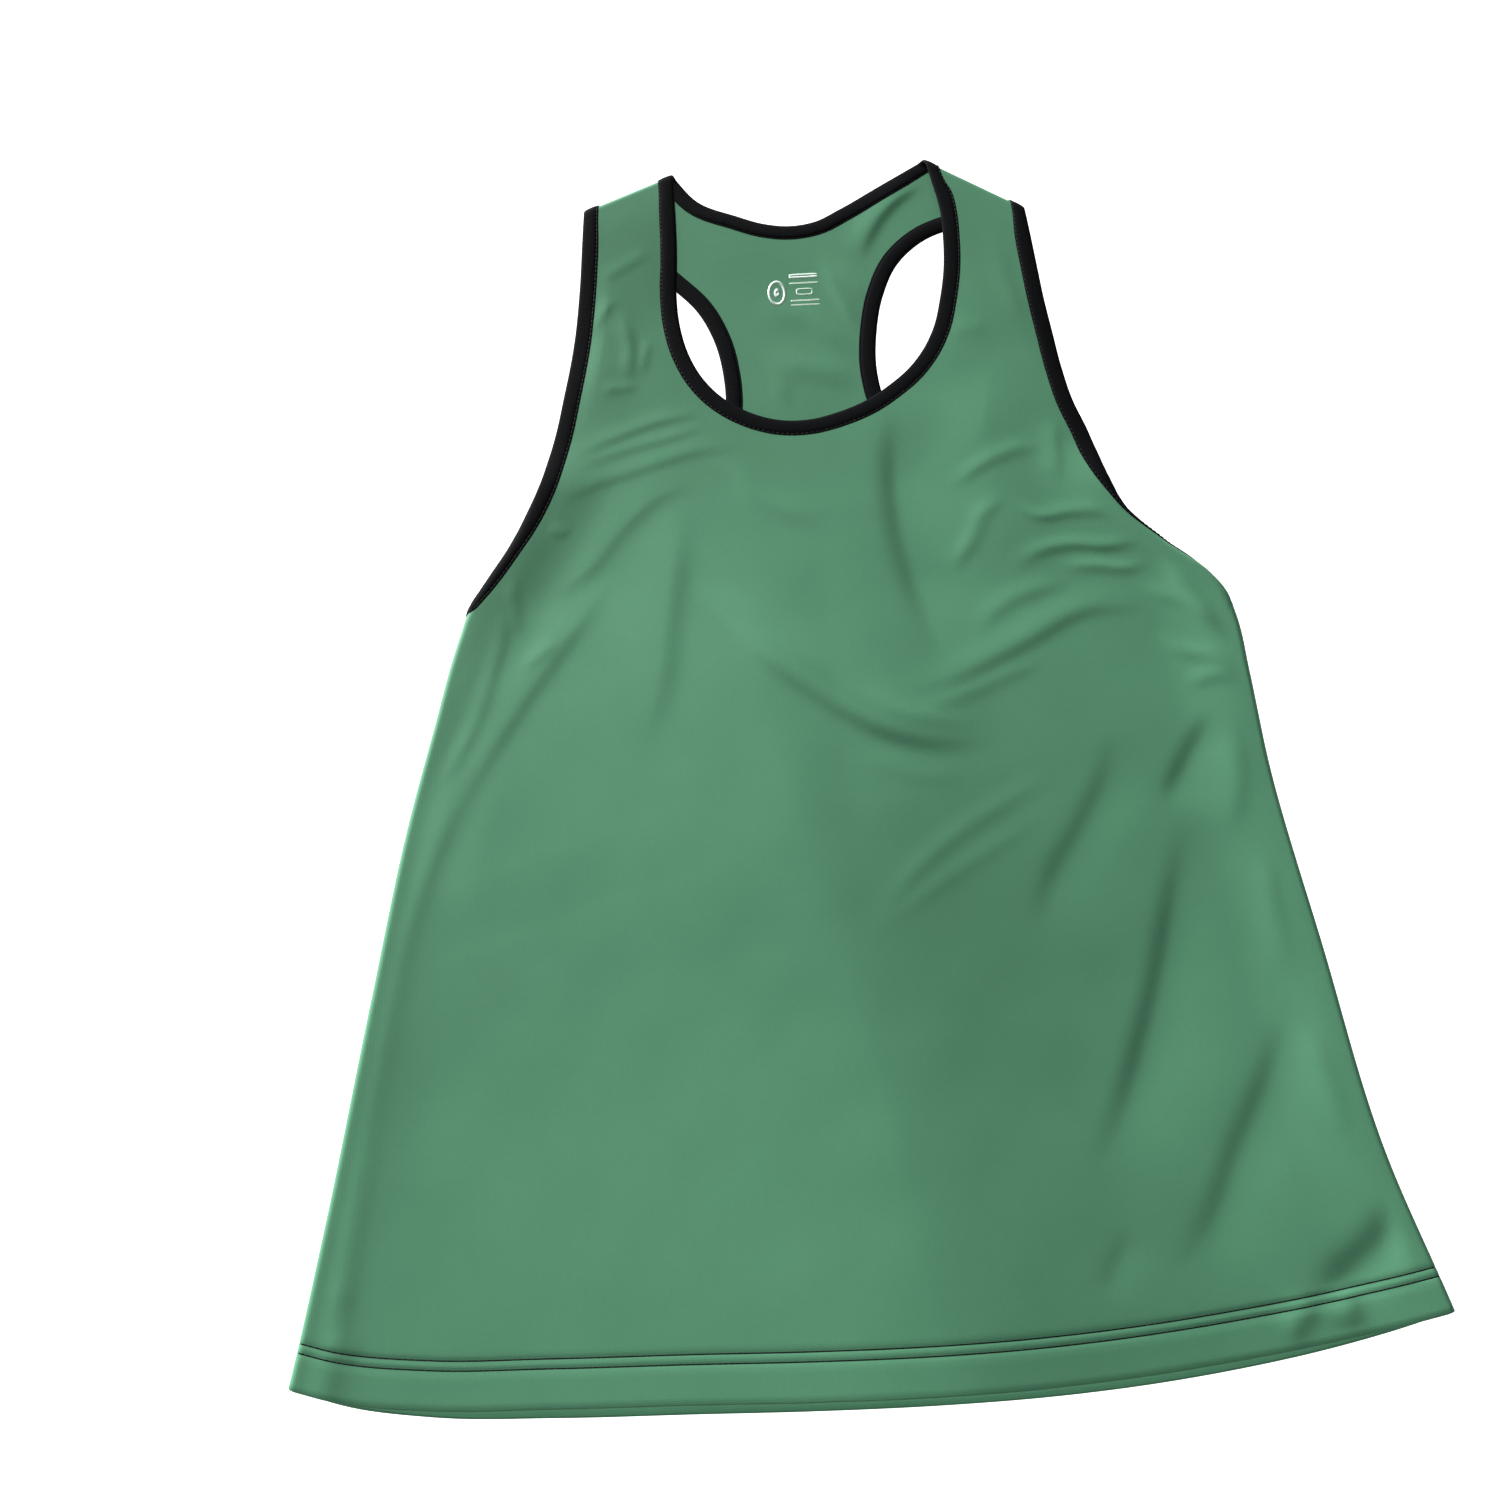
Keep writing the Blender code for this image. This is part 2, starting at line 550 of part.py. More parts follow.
def make_panel(face):
    """Outer face of a panel with its hem turned up inside."""
    lines, whole, west = panel_lines(face)
    outer = [skin(line, face) for line in lines]
    inner = [skin_moved(line * (HEM_SHORT, 1), face, -2 * HEM_TURN)
             for line in lines[:len(HEM_ROWS)]]
    centre = (outer[0] + inner[0]) / 2
    radial = outer[0] - centre
    down = outer[0] - outer[1]
    down -= radial * ((down * radial).sum(-1) / (radial * radial).sum(-1))[:, None]
    down *= HEM_TURN / np.linalg.norm(down, axis=1, keepdims=True)
    turn = [centre + radial * math.cos(math.radians(a)) + down * math.sin(math.radians(a))
            for a in HEM_ANGLES]
    rows = inner[::-1] + turn + outer[:whole]
    columns = len(rows[0])
    vertices = list(np.concatenate(rows))
    flip = face == "back"
    side = list(RIM) + [RIM[-1]] * (west - len(RIM) - len(NECK_RIM)) + list(NECK_RIM[::-1])
    insets = side + [0] * (columns - 2 * west) + side[::-1]
    faces = grid_faces(range(len(rows)), insets, flip=flip)
    top_row = (len(rows) - 1) * columns
    for start, edge_insets in ((0, side), (columns - west, side[::-1])):
        below = range(top_row + start, top_row + start + west)
        for line in outer[whole:]:
            here = range(len(vertices), len(vertices) + west)
            vertices += list(line[:west] if start == 0 else line[-west:])
            faces += ladder(below, here, 1, edge_insets, flip)
            below = here
    return face, faces, np.array(vertices)


# ---------------------------------------------------------------- folded tape
def tape_section(rim):
    """Inset and lift of the points round folded tape: outer leg, fold, inner leg."""
    over = [(s, TAPE_LIFT) for s in rim[::-1]]
    fold = [(-TAPE_FOLD, FOLD_CORNER), (-TAPE_FOLD, -WALL - FOLD_CORNER)]
    under = [(s, -WALL - TAPE_LIFT) for s in rim]
    return over + fold + under


def tape_sections(face, edge, runs, rim):
    """Sections of tape folded over an edge of a panel: outer leg, fold, inner leg."""
    raw, inward = edge_frame(PANELS[face][edge], runs)
    mitre = np.ones(len(raw) + (len(TAPE_FAN) if edge in UNDERARMS else 0))
    if edge in UNDERARMS:
        column, low = UNDERARMS[edge]
        corner = seam_point(low, column, face)
        down = unit(seam_point(low - TAPE_WIDTH, column, face) - corner)
        fan = [(corner * (1 - g) + raw[0] * g, unit(down * (1 - g) + inward[0] * g))
               for g in TAPE_FAN]
        mitre[:len(fan)] = [1 / (way @ inward[0]) for _, way in fan]
        raw, inward = (np.concatenate([part, rest]) for part, rest in
                       zip(np.swapaxes(fan, 0, 1), (raw, inward)))
    straight = skin(raw + PROBE * inward, face) - skin(raw - PROBE * inward, face)
    straight /= np.linalg.norm(straight, axis=1, keepdims=True)
    columns = []
    for s, lift in tape_section(rim):
        column = skin_moved(raw + max(s, 0) * inward, face, np.full(len(raw), lift))
        columns.append(column + min(s, 0) * mitre[:, None] * straight)
    return list(np.stack(columns, axis=1))


def make_neck_tape(name):
    """Closed ring of tape, over the front's neck and back along the back's."""
    ring, levels = [], []
    for face in ("front", "back"):
        runs = edge_runs(face)
        order = np.concatenate([runs["neck_left"][::-1], runs["arc"][1:-1], runs["neck_right"]])
        sections = tape_sections(face, "neck", order, NECK_RIM)
        heights = list(abs(np.arange(len(order)) - len(order) / 2))
        ring += sections if face == "front" else sections[-2:0:-1]
        levels += heights if face == "front" else heights[-2:0:-1]
    insets = [s for s, _ in tape_section(NECK_RIM)]
    return name, grid_faces(levels, insets, closed=True, flip=True), np.concatenate(ring)


def make_armhole_tape(name, edge):
    """Tape from the side seam up the front, over the shoulder and down the back."""
    front, back = (tape_sections(face, edge, edge_runs(face)[edge], RIM)
                   for face in ("front", "back"))
    sections = front + back[-2::-1]
    levels = list(range(len(front))) + list(range(len(back) - 1))[::-1]
    insets = [s for s, _ in tape_section(RIM)]
    faces = grid_faces(levels, insets, flip=edge == "arm_left")
    return name, faces, np.concatenate(sections)


# ---------------------------------------------------------------- the whole garment
def cloth_material(name, colour):
    material = bpy.data.materials.new(name)
    material.use_nodes = True
    shader = material.node_tree.nodes["Principled BSDF"]
    shader.inputs["Base Color"].default_value = colour
    shader.inputs["Roughness"].default_value = 0.75
    shader.inputs["Metallic"].default_value = 0.0
    return material


def main():
    for old in list(bpy.data.objects):
        bpy.data.objects.remove(old, do_unlink=True)
    collection = bpy.data.collections.new("tank_top")
    bpy.context.scene.collection.children.link(collection)
    green = cloth_material("green_knit", GREEN)
    black = cloth_material("black_tape", BLACK)

    panels = [make_panel("front"), make_panel("back")]
    tapes = [
        make_neck_tape("neck_binding"),
        make_armhole_tape("armhole_binding_left", "arm_left"),
        make_armhole_tape("armhole_binding_right", "arm_right"),
    ]
    everything = np.concatenate([points for _, _, points in panels + tapes])
    low, high = everything.min(0), everything.max(0)
    origin = np.array([(low[0] + high[0]) / 2, (low[1] + high[1]) / 2, 0.0])
    for pieces, material in ((panels, green), (tapes, black)):
        for name, faces, points in pieces:
            add_piece(name, faces, (points - origin) * MM, material, collection)


main()
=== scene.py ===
"""A sleeveless racerback sports top in thin knit, laid flat on its back with the front upwards.

The sections follow the sewing: back panel, front panel, tape round the neck, tape round each
armhole, hem stitching, and the small print inside the neck. Cloth is drawn in its own flat
plane, in millimetres (x across, y up from the lowest point of the hem), and then laid: rolled
over the side folds and the shoulder folds and lifted by what lies under it.
"""
import math

import bpy
import numpy as np
from mathutils import Matrix, Vector


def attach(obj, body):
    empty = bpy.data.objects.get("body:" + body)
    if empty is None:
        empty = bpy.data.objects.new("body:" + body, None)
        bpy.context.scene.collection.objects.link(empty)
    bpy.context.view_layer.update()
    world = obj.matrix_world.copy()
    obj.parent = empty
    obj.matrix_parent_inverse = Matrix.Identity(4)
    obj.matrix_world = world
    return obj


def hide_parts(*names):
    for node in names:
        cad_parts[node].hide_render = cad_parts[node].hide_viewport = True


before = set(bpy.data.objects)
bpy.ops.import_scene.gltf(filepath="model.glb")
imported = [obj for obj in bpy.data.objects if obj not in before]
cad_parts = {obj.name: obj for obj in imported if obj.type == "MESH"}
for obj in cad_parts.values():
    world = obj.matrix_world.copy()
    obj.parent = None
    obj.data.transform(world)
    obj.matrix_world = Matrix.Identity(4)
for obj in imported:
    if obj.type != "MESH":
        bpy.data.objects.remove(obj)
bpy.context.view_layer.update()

# ------------------------------------------------------------------------------ back panel
# The back is one piece of thin polyester interlock, cut away between the armholes to a narrow
# racerback. It lies on the table, its hem turned up inside, and everything else lies on it.
MM = 0.001
ORIGIN = (0.19, 345.97)        # where the frame's origin lies in the flat plane
CLOTH = 0.6                    # one layer of knit
TUCK = 0.15                    # air left between two sewn layers
LAYER = CLOTH + TUCK
FOLD_RADIUS = 3.0              # of the soft fold at the sides and shoulders
QUARTER = FOLD_RADIUS * math.pi / 2
HEM_DEPTH = 25.0
HEM_TURN = CLOTH + 0.2         # radius of the hem's lower edge
HEM_SHORT = 0.984              # the turned-up layer is narrower, inside the side folds
TAPE_WIDTH = 10.0
TAPE_REST = 1.05               # how far tape and its stitches stand out from the cloth
SEAM_SET = 0.1                 # half the gap that shows between two sewn panels
GROOVE = (1.4, 0.5)            # how wide and how deep the cloth dips into a seam
STITCH_PULL = (0.28, 0.9)      # how deep and how wide a row of stitches pulls the cloth in
MIDDLE_X = 5.0                 # parts the left half from the right one
HALF_HEM = 270.0
# Where an effect of an edge ends: full up to the first distance, gone over the second.
BACK_RISE = (50, 70)           # back cloth lifted by the tape
SHOULDER_TURN = (8, 30)        # tape turned to run along the shoulder seam
TWIN_NEEDLES = (17.0, 21.3)    # heights of the two rows of hem stitches

# Where the front starts to roll over at each side, and how far past it the side seam lies.
#   height, left, right, reach on the left, reach on the right
SIDE_FOLDS = [
    (0, -277.0, 276.5, QUARTER, QUARTER),
    (20, -272.0, 272.0, QUARTER, QUARTER),
    (100, -255.0, 252.0, QUARTER, QUARTER),
    (200, -236.0, 240.0, QUARTER, QUARTER),
    (300, -216.0, 229.0, QUARTER, QUARTER),
    (350, -203.0, 227.0, QUARTER, 5.5),
    (385, -194.0, 225.0, 5.0, 13.0),
    (398, -190.0, 222.0, 5.6, 19.0),
    (410, -186.0, 214.0, 7.5, 23.0),
    (430, -174.0, 192.0, 10.5, 20.0),
    (450, -161.5, 174.5, 11.0, 15.0),
    (470, -152.5, 167.0, 11.0, 12.5),
    (490, -147.0, 163.5, 11.0, 12.5),
    (515, -146.0, 165.0, 11.0, 12.5),
    (560, -150.0, 172.0, 11.0, 12.5),
    (700, -190.0, 215.0, 11.0, 12.5),
]
# The back's hem line: x, height.
HEM_LINE = [
    (-279, 27.0), (-250, 16.5), (-209, 9.0), (-150, 5.0), (-84, 2.5), (-30, 0.4), (30, -0.8),
    (80, -0.3), (126, 2.0), (169, 6.0), (213, 12.0), (250, 19.0), (279, 26.0),
]
# Ends of the two shoulder seams: at the armhole, at the neck.
SHOULDERS = {
    "left": ((-118.5, 668.5), (-64.5, 691.5)),
    "right": ((143.5, 655.5), (87.0, 693.5)),
}
# Finished edges: x, height, running with the cloth on the right-hand side. The front's
# armholes are among them because the back rests on their tape at the underarms.
BACK_ARMHOLE_LEFT = [
    (-181, 419), (-160, 425), (-128, 434), (-96, 450), (-68, 474), (-49, 503), (-42, 530),
    (-42, 552), (-46, 575), (-55, 596), (-70, 614), (-90, 635), (-107, 655),
    SHOULDERS["left"][0],
]
BACK_ARMHOLE_RIGHT = [
    SHOULDERS["right"][0], (127, 651), (104, 645), (83, 637), (66, 622), (55, 600),
    (49, 575), (47, 553), (50, 528), (60, 500), (78, 474), (104, 456), (132, 443),
    (160, 430), (180, 416), (198, 406), (211, 402),
]
BACK_NECK = [
    SHOULDERS["left"][1], (-50, 672), (-28, 661), (-12, 654.5), (3, 652), (18, 654),
    (34, 662), (56, 675), SHOULDERS["right"][1],
]
FRONT_ARMHOLE_LEFT = [
    (-192, 418), (-181, 431), (-169, 448), (-157.5, 466), (-149, 484), (-143, 503),
    (-138, 522), (-134, 541), (-130, 560), (-126.5, 580), (-124, 600), (-122, 621),
    (-120.5, 642), SHOULDERS["left"][0],
]
FRONT_ARMHOLE_RIGHT = [
    SHOULDERS["right"][0], (145, 635), (146.5, 612), (148, 590), (150.5, 566), (153, 543),
    (156.5, 522), (162.2, 503), (165.8, 489), (170.5, 477), (176.5, 466), (184.5, 454),
    (195, 444), (209, 433), (226, 420), (241, 402),
]
UNDERARM_LEFT = 418.0
UNDERARM_RIGHT = 402.0
# Soft creases of the back, whose inside shows through the neck: a line, the spread on its
# gentle side, the spread on its steep side (on the right of the line as it runs), the height.
BACK_CREASES = [
    ("below the right shoulder", [(46, 623), (51, 640), (71, 666), (88, 676)], 9, 4, 0.9),
    ("from the print", [(17, 628), (29, 596), (38, 576)], 6, 4, 0.5),
    ("to the right edge", [(26, 622), (36, 608), (44, 596)], 5, 3, 0.35),
    ("below the print", [(-24, 584), (5, 586), (21, 571), (38, 556)], 7, 4, 0.5),
    ("above the front's neck", [(-22, 554), (8, 550), (36, 541)], 7, 4, 0.55),
    ("at the front's neck", [(-17, 539), (-3, 537)], 5, 4, 0.3),
    ("under the left flank", [(-170, 120), (-150, 230), (-120, 330)], 16, 8, 1.1),
    ("under the right flank", [(150, 90), (165, 200), (190, 300)], 16, 8, 1.2),
    ("under the middle", [(-60, 150), (20, 190), (90, 180)], 18, 9, 0.9),
    ("under the chest", [(-120, 400), (-20, 370), (90, 385)], 14, 7, 1.0),
    ("under the left hem", [(-200, 45), (-175, 90)], 10, 6, 0.7),
    ("under the right hem", [(90, 40), (120, 85)], 10, 6, 0.7),
]
CREASE_STEPS = 20              # straight pieces that a crease's line is read in
CREASE_FADE = 0.35             # share of a crease's length over which each end fades


def ease(value):
    """0 below 0, 1 above 1, and a smooth step between."""
    value = np.clip(value, 0.0, 1.0)
    return value * value * (3 - 2 * value)


def near(distance, start, length):
    """1 up to start from an edge, then down to 0 over length."""
    return 1 - ease((distance - start) / length)


def unit(vector):
    return vector / np.linalg.norm(vector, axis=-1, keepdims=True)


def smooth_rows(rows, at):
    """Read a table at any value of its first column, through a smooth curve."""
    rows = np.array(rows, float)
    knots, values = rows[:, 0], rows[:, 1:]
    slopes = np.gradient(values, knots, axis=0)
    at = np.asarray(at, float)
    i = np.clip(np.searchsorted(knots, at) - 1, 0, len(knots) - 2)
    step = (knots[i + 1] - knots[i])[..., None]
    t = np.clip((at - knots[i])[..., None] / step, 0.0, 1.0)
    return ((1 + 2 * t) * (1 - t) ** 2 * values[i] + t * (1 - t) ** 2 * step * slopes[i]
            + t * t * (3 - 2 * t) * values[i + 1] + t * t * (t - 1) * step * slopes[i + 1])


def lengths(points):
    """Distance run along a list of points."""
    steps = np.linalg.norm(np.diff(np.array(points, float), axis=0), axis=1)
    return np.concatenate([[0.0], np.cumsum(steps)])


def distance_to(points, line):
    """Distance from each point to a line of points."""
    line = np.array(line, float)
    start, span = line[:-1], np.diff(line, axis=0)
    away = points[..., None, :] - start
    share = np.clip((away * span).sum(-1) / (span * span).sum(-1), 0, 1)
    return np.linalg.norm(away - share[..., None] * span, axis=-1).min(-1)


def crease_height(points, creases, falls=0.7, power=2.0):
    """Height that creases add.

    A crease rises on its gentle side and falls off to the right of its line. With falls at 0
    the line is its crest, and at 0.7 it is where the cloth is steepest. With power at 2 the
    crest is round, and towards 1 it becomes a roof with even slopes.
    """
    total = np.zeros(points.shape[:-1])
    for _, line, gentle, steep, height in creases:
        rows = np.column_stack([lengths(line), line])
        path = smooth_rows(rows, np.linspace(0, rows[-1, 0], CREASE_STEPS + 1))
        margin = 3 * max(gentle, steep)
        close = ((points > path.min(0) - margin) & (points < path.max(0) + margin)).all(-1)
        if not close.any():
            continue
        at = points[close]
        start, span = path[:-1], np.diff(path, axis=0)
        away = at[:, None, :] - start
        share = np.clip((away * span).sum(-1) / (span * span).sum(-1), 0, 1)
        gap = away - share[..., None] * span
        best = np.linalg.norm(gap, axis=-1).argmin(-1)
        row = np.arange(len(at))
        gap, way = gap[row, best], unit(span)[best]
        side = gap[:, 0] * way[:, 1] - gap[:, 1] * way[:, 0] + falls * steep
        beyond = abs((gap * way).sum(-1))
        along = (best + share[row, best]) / CREASE_STEPS
        fade = ease(along / CREASE_FADE) * ease((1 - along) / CREASE_FADE)
        across = side / np.where(side < 0, gentle, steep)
        total[close] += height * fade * np.exp(-abs(across) ** power - (beyond / gentle) ** 2)
    return total


def ripple(points, seed, height, short, long, waves=18):
    """Faint unevenness of slack knit: low waves of every direction, between two lengths."""
    random = np.random.default_rng(seed)
    total = np.zeros(points.shape[:-1])
    for _ in range(waves):
        turn, phase = random.uniform(0, 2 * math.pi, 2)
        size = random.uniform(short, long)
        across = points @ np.array([math.cos(turn), math.sin(turn)])
        total += np.sin(2 * math.pi * across / size + phase)
    return total * height / math.sqrt(waves)


def side_rows(heights):
    return smooth_rows(SIDE_FOLDS, heights)


def side_slants(heights, probe=2.0):
    """Share of a step across in x that leads straight over each side fold."""
    heights = np.asarray(heights, float)
    slopes = (side_rows(heights + probe) - side_rows(heights - probe))[..., :2] / (2 * probe)
    return 1 / np.sqrt(1 + slopes ** 2)


def shoulder_beyond(points, side):
    """How far each point lies past the line where a shoulder starts to roll, and the way."""
    outer, inner = (np.array(end, float) for end in SHOULDERS[side])
    line = unit(inner - outer)
    up = np.array([-line[1], line[0]]) * (1 if line[0] > 0 else -1)
    own_half = (points[..., 0] < MIDDLE_X) == (side == "left")
    return np.where(own_half, (points - outer) @ up + QUARTER, -np.inf), up


def roll(past):
    """Travel and fall of cloth that runs this far past the start of a fold."""
    angle = np.clip(past / FOLD_RADIUS, 0, math.pi)
    under = np.clip(past - math.pi * FOLD_RADIUS, 0, None)
    return FOLD_RADIUS * np.sin(angle) - under, FOLD_RADIUS * (1 - np.cos(angle))


def back_resting(points):
    """Height of the lowest cloth where it starts from the table or from its tape."""
    edges = np.min([distance_to(points, line) for line in
                    (BACK_ARMHOLE_LEFT, BACK_ARMHOLE_RIGHT, BACK_NECK, FRONT_ARMHOLE_LEFT,
                     FRONT_ARMHOLE_RIGHT)], axis=0)
    return TAPE_REST * near(edges, *BACK_RISE)


def stitch_groove(points, hem_edge):
    """How far the two rows of hem stitches pull the cloth in."""
    above = points[..., 1] - hem_edge
    depth, width = STITCH_PULL
    return sum(depth * np.exp(-((above - row) / width) ** 2) for row in TWIN_NEEDLES)


def hem_height(x, rise):
    """Lower edge of a panel: the hem line, and a rise in the middle for the front."""
    x = np.asarray(x, float)
    rise = rise * (1 - np.clip(abs(x) / HALF_HEM, 0, 1) ** 4)
    return smooth_rows(HEM_LINE, x)[..., 0] + rise + HEM_TURN


def back_height(points):
    """Height of the back's outer face, which is its underside."""
    creases = crease_height(points, BACK_CREASES).clip(0)
    hem = stitch_groove(points, hem_height(points[..., 0], 0))
    return back_resting(points) + creases + 1.5 * hem


def lay(points, panel):
    """Place flat points of a panel in space, on the cloth's outer face."""
    flat = np.array(points, float)
    base, placed = flat.copy(), flat.copy()
    fall = np.zeros(flat.shape[:-1])
    sides, slants = side_rows(flat[..., 1]), side_slants(flat[..., 1])
    for column, way in ((0, -1), (1, 1)):
        line, slant = sides[..., column], slants[..., column]
        past = (flat[..., 0] - line) * way * slant
        travel, drop = roll(past)
        base[..., 0] = np.where(past > 0, line, base[..., 0])
        placed[..., 0] = np.where(past > 0, line + way * travel / slant, placed[..., 0])
        fall += drop
    for side in SHOULDERS:
        past, up = shoulder_beyond(flat, side)
        travel, drop = roll(past)
        shift = np.where(past > 0, past, 0)[..., None] * up
        base -= shift
        placed += np.where(past > 0, travel, 0)[..., None] * up - shift
        fall += drop
    height = panel["height"](base) - panel["out"] * fall
    return np.concatenate([placed, height[..., None]], axis=-1)


def lay_lifted(points, panel, lift, probe=0.3):
    """Points on a panel's outer face, moved out from the cloth by lift."""
    points = np.array(points, float)
    spans = [lay(points + step, panel) - lay(points - step, panel)
             for step in (np.array([probe, 0]), np.array([0, probe]))]
    normal = unit(np.cross(spans[0], spans[1])) * panel["out"]
    return lay(points, panel) + np.asarray(lift, float)[..., None] * normal


def edge_frame(points, run):
    """Raw edge of the cloth at a distance run along a finished edge, and the way inwards.

    Near a shoulder the way inwards turns to run along the shoulder seam.
    """
    rows = np.column_stack([lengths(points), points])
    run = np.asarray(run, float)
    end = rows[-1, 0]
    tangent = unit(smooth_rows(rows, np.minimum(run + 1, end))
                   - smooth_rows(rows, np.maximum(run - 1, 0)))
    inward = np.stack([tangent[..., 1], -tangent[..., 0]], axis=-1)
    for outer, inner in SHOULDERS.values():
        seam = unit(np.subtract(inner, outer))
        for mark, way in ((outer, seam), (inner, -seam)):
            for tip, away in ((points[0], run), (points[-1], end - run)):
                if tuple(tip) == tuple(mark):
                    turn = near(away, *SHOULDER_TURN)[..., None]
                    inward = inward * (1 - turn) + way * turn
    inward = unit(inward)
    return smooth_rows(rows, run) + (LAYER + 0.1) * inward, inward


def seam_point(height, column, panel):
    """Point of a side seam, in the panel's own flat plane; column 0 is left, 1 is right."""
    way = (-1, 1)[column]
    row = side_rows(height)
    past = row[2 + column]
    if panel["out"] < 0:
        past = math.pi * FOLD_RADIUS / side_slants(height)[column] - past
    return np.array([row[column] + way * (past - SEAM_SET), height])


ROW_CROWDING = 1.15            # power that crowds the body's rows towards the underarms
FIRST_TAPE = 3.0               # first row on an armhole, from the side seam
TURN_ROWS = 14                 # rows over which the way inwards turns to the armhole's
# How finely a panel is woven: distances in from an outer edge and from the neck, heights in
# the hem, distances down from the shoulder seam, and the steps between them.
RIM = (0.2, 0.9, 1.7, 2.6, 3.5, 4.4, 5.4, 6.5, 7.7, 9.0, 10.5, 12.0, 13.5, 15.5)
NECK_RIM = (0.2, 2.5, 5.0, 7.5, 10.0, 12.5)
HEM_ROWS = (0, 3, 6, 9, 12, 14.5, 16.3, 17.0, 17.7, 19.2, 20.6, 21.3, 22.0, 23.5, 25.5, 27.5)
HEM_ANGLES = (150, 120, 90, 60, 30)
SHOULDER_ROWS = (7, 6, 5, 4, 3.2, 2.4, 1.6, 0.8, 0)
BACK = {
    "height": back_height, "out": -1, "rise": 0.0,
    "arm_left": BACK_ARMHOLE_LEFT, "neck": BACK_NECK, "arm_right": BACK_ARMHOLE_RIGHT,
    "turns": (3, 5), "feet": (-30, 38), "waist": 395, "below": (0.72, 0.76),
    "body": 80, "side": 46, "middle": 18, "chest": 66, "strap": 24,
}


def along_edge(points, tip, away):
    """Distance along an edge from its tip at a shoulder, for distances from the seam."""
    ends = (points[0], points[1]) if tip == 0 else (points[-1], points[-2])
    outer, inner = SHOULDERS["left" if ends[0][0] < MIDDLE_X else "right"]
    seam, edge = unit(np.subtract(inner, outer)), unit(np.subtract(ends[1], ends[0]))
    return np.asarray(away, float) / abs(seam[0] * edge[1] - seam[1] * edge[0])


def edge_runs(panel):
    """Distances along the armholes and the neck where the panel has a row or a column."""
    tips = SEAM_SET + np.array(SHOULDER_ROWS)
    runs = {}
    for name, share, tip in (("arm_left", panel["below"][0], -1),
                             ("arm_right", panel["below"][1], 0)):
        total = lengths(panel[name])[-1]
        ends = total - along_edge(panel[name], tip, tips)
        chest = FIRST_TAPE + (share * total - FIRST_TAPE) * np.linspace(0, 1, panel["chest"])
        strap = np.linspace(share * total, ends[0], panel["strap"] + 1)[1:]
        up = np.concatenate([chest, strap, ends[1:]])
        runs[name] = total - up if tip == 0 else up
    neck = lengths(panel["neck"])
    left, right = (neck[turn] for turn in panel["turns"])
    for name, start, tip in (("neck_left", left, 0), ("neck_right", right, -1)):
        ends = along_edge(panel["neck"], tip, tips)
        ends = ends if tip == 0 else neck[-1] - ends
        strap = np.linspace(start, ends[0], panel["strap"] + 1)
        runs[name] = np.concatenate([strap, ends[1:]])
    runs["arc"] = np.linspace(left, right, panel["middle"] + 1)
    return runs


def block(outer, outer_way, inner, inner_way, steps):
    """Points of one row, from a rim at its outer edge to a rim at the neck or the line below."""
    room = 0.7 * np.linalg.norm(inner - outer) / (RIM[-1] + NECK_RIM[-1])
    rim = [outer + s * outer_way * min(1, room) for s in RIM]
    neck = [inner + s * inner_way * min(1, room) for s in NECK_RIM[::-1]]
    between = [rim[-1] + (neck[0] - rim[-1]) * g for g in np.linspace(0, 1, steps + 1)[1:-1]]
    return rim + between + neck


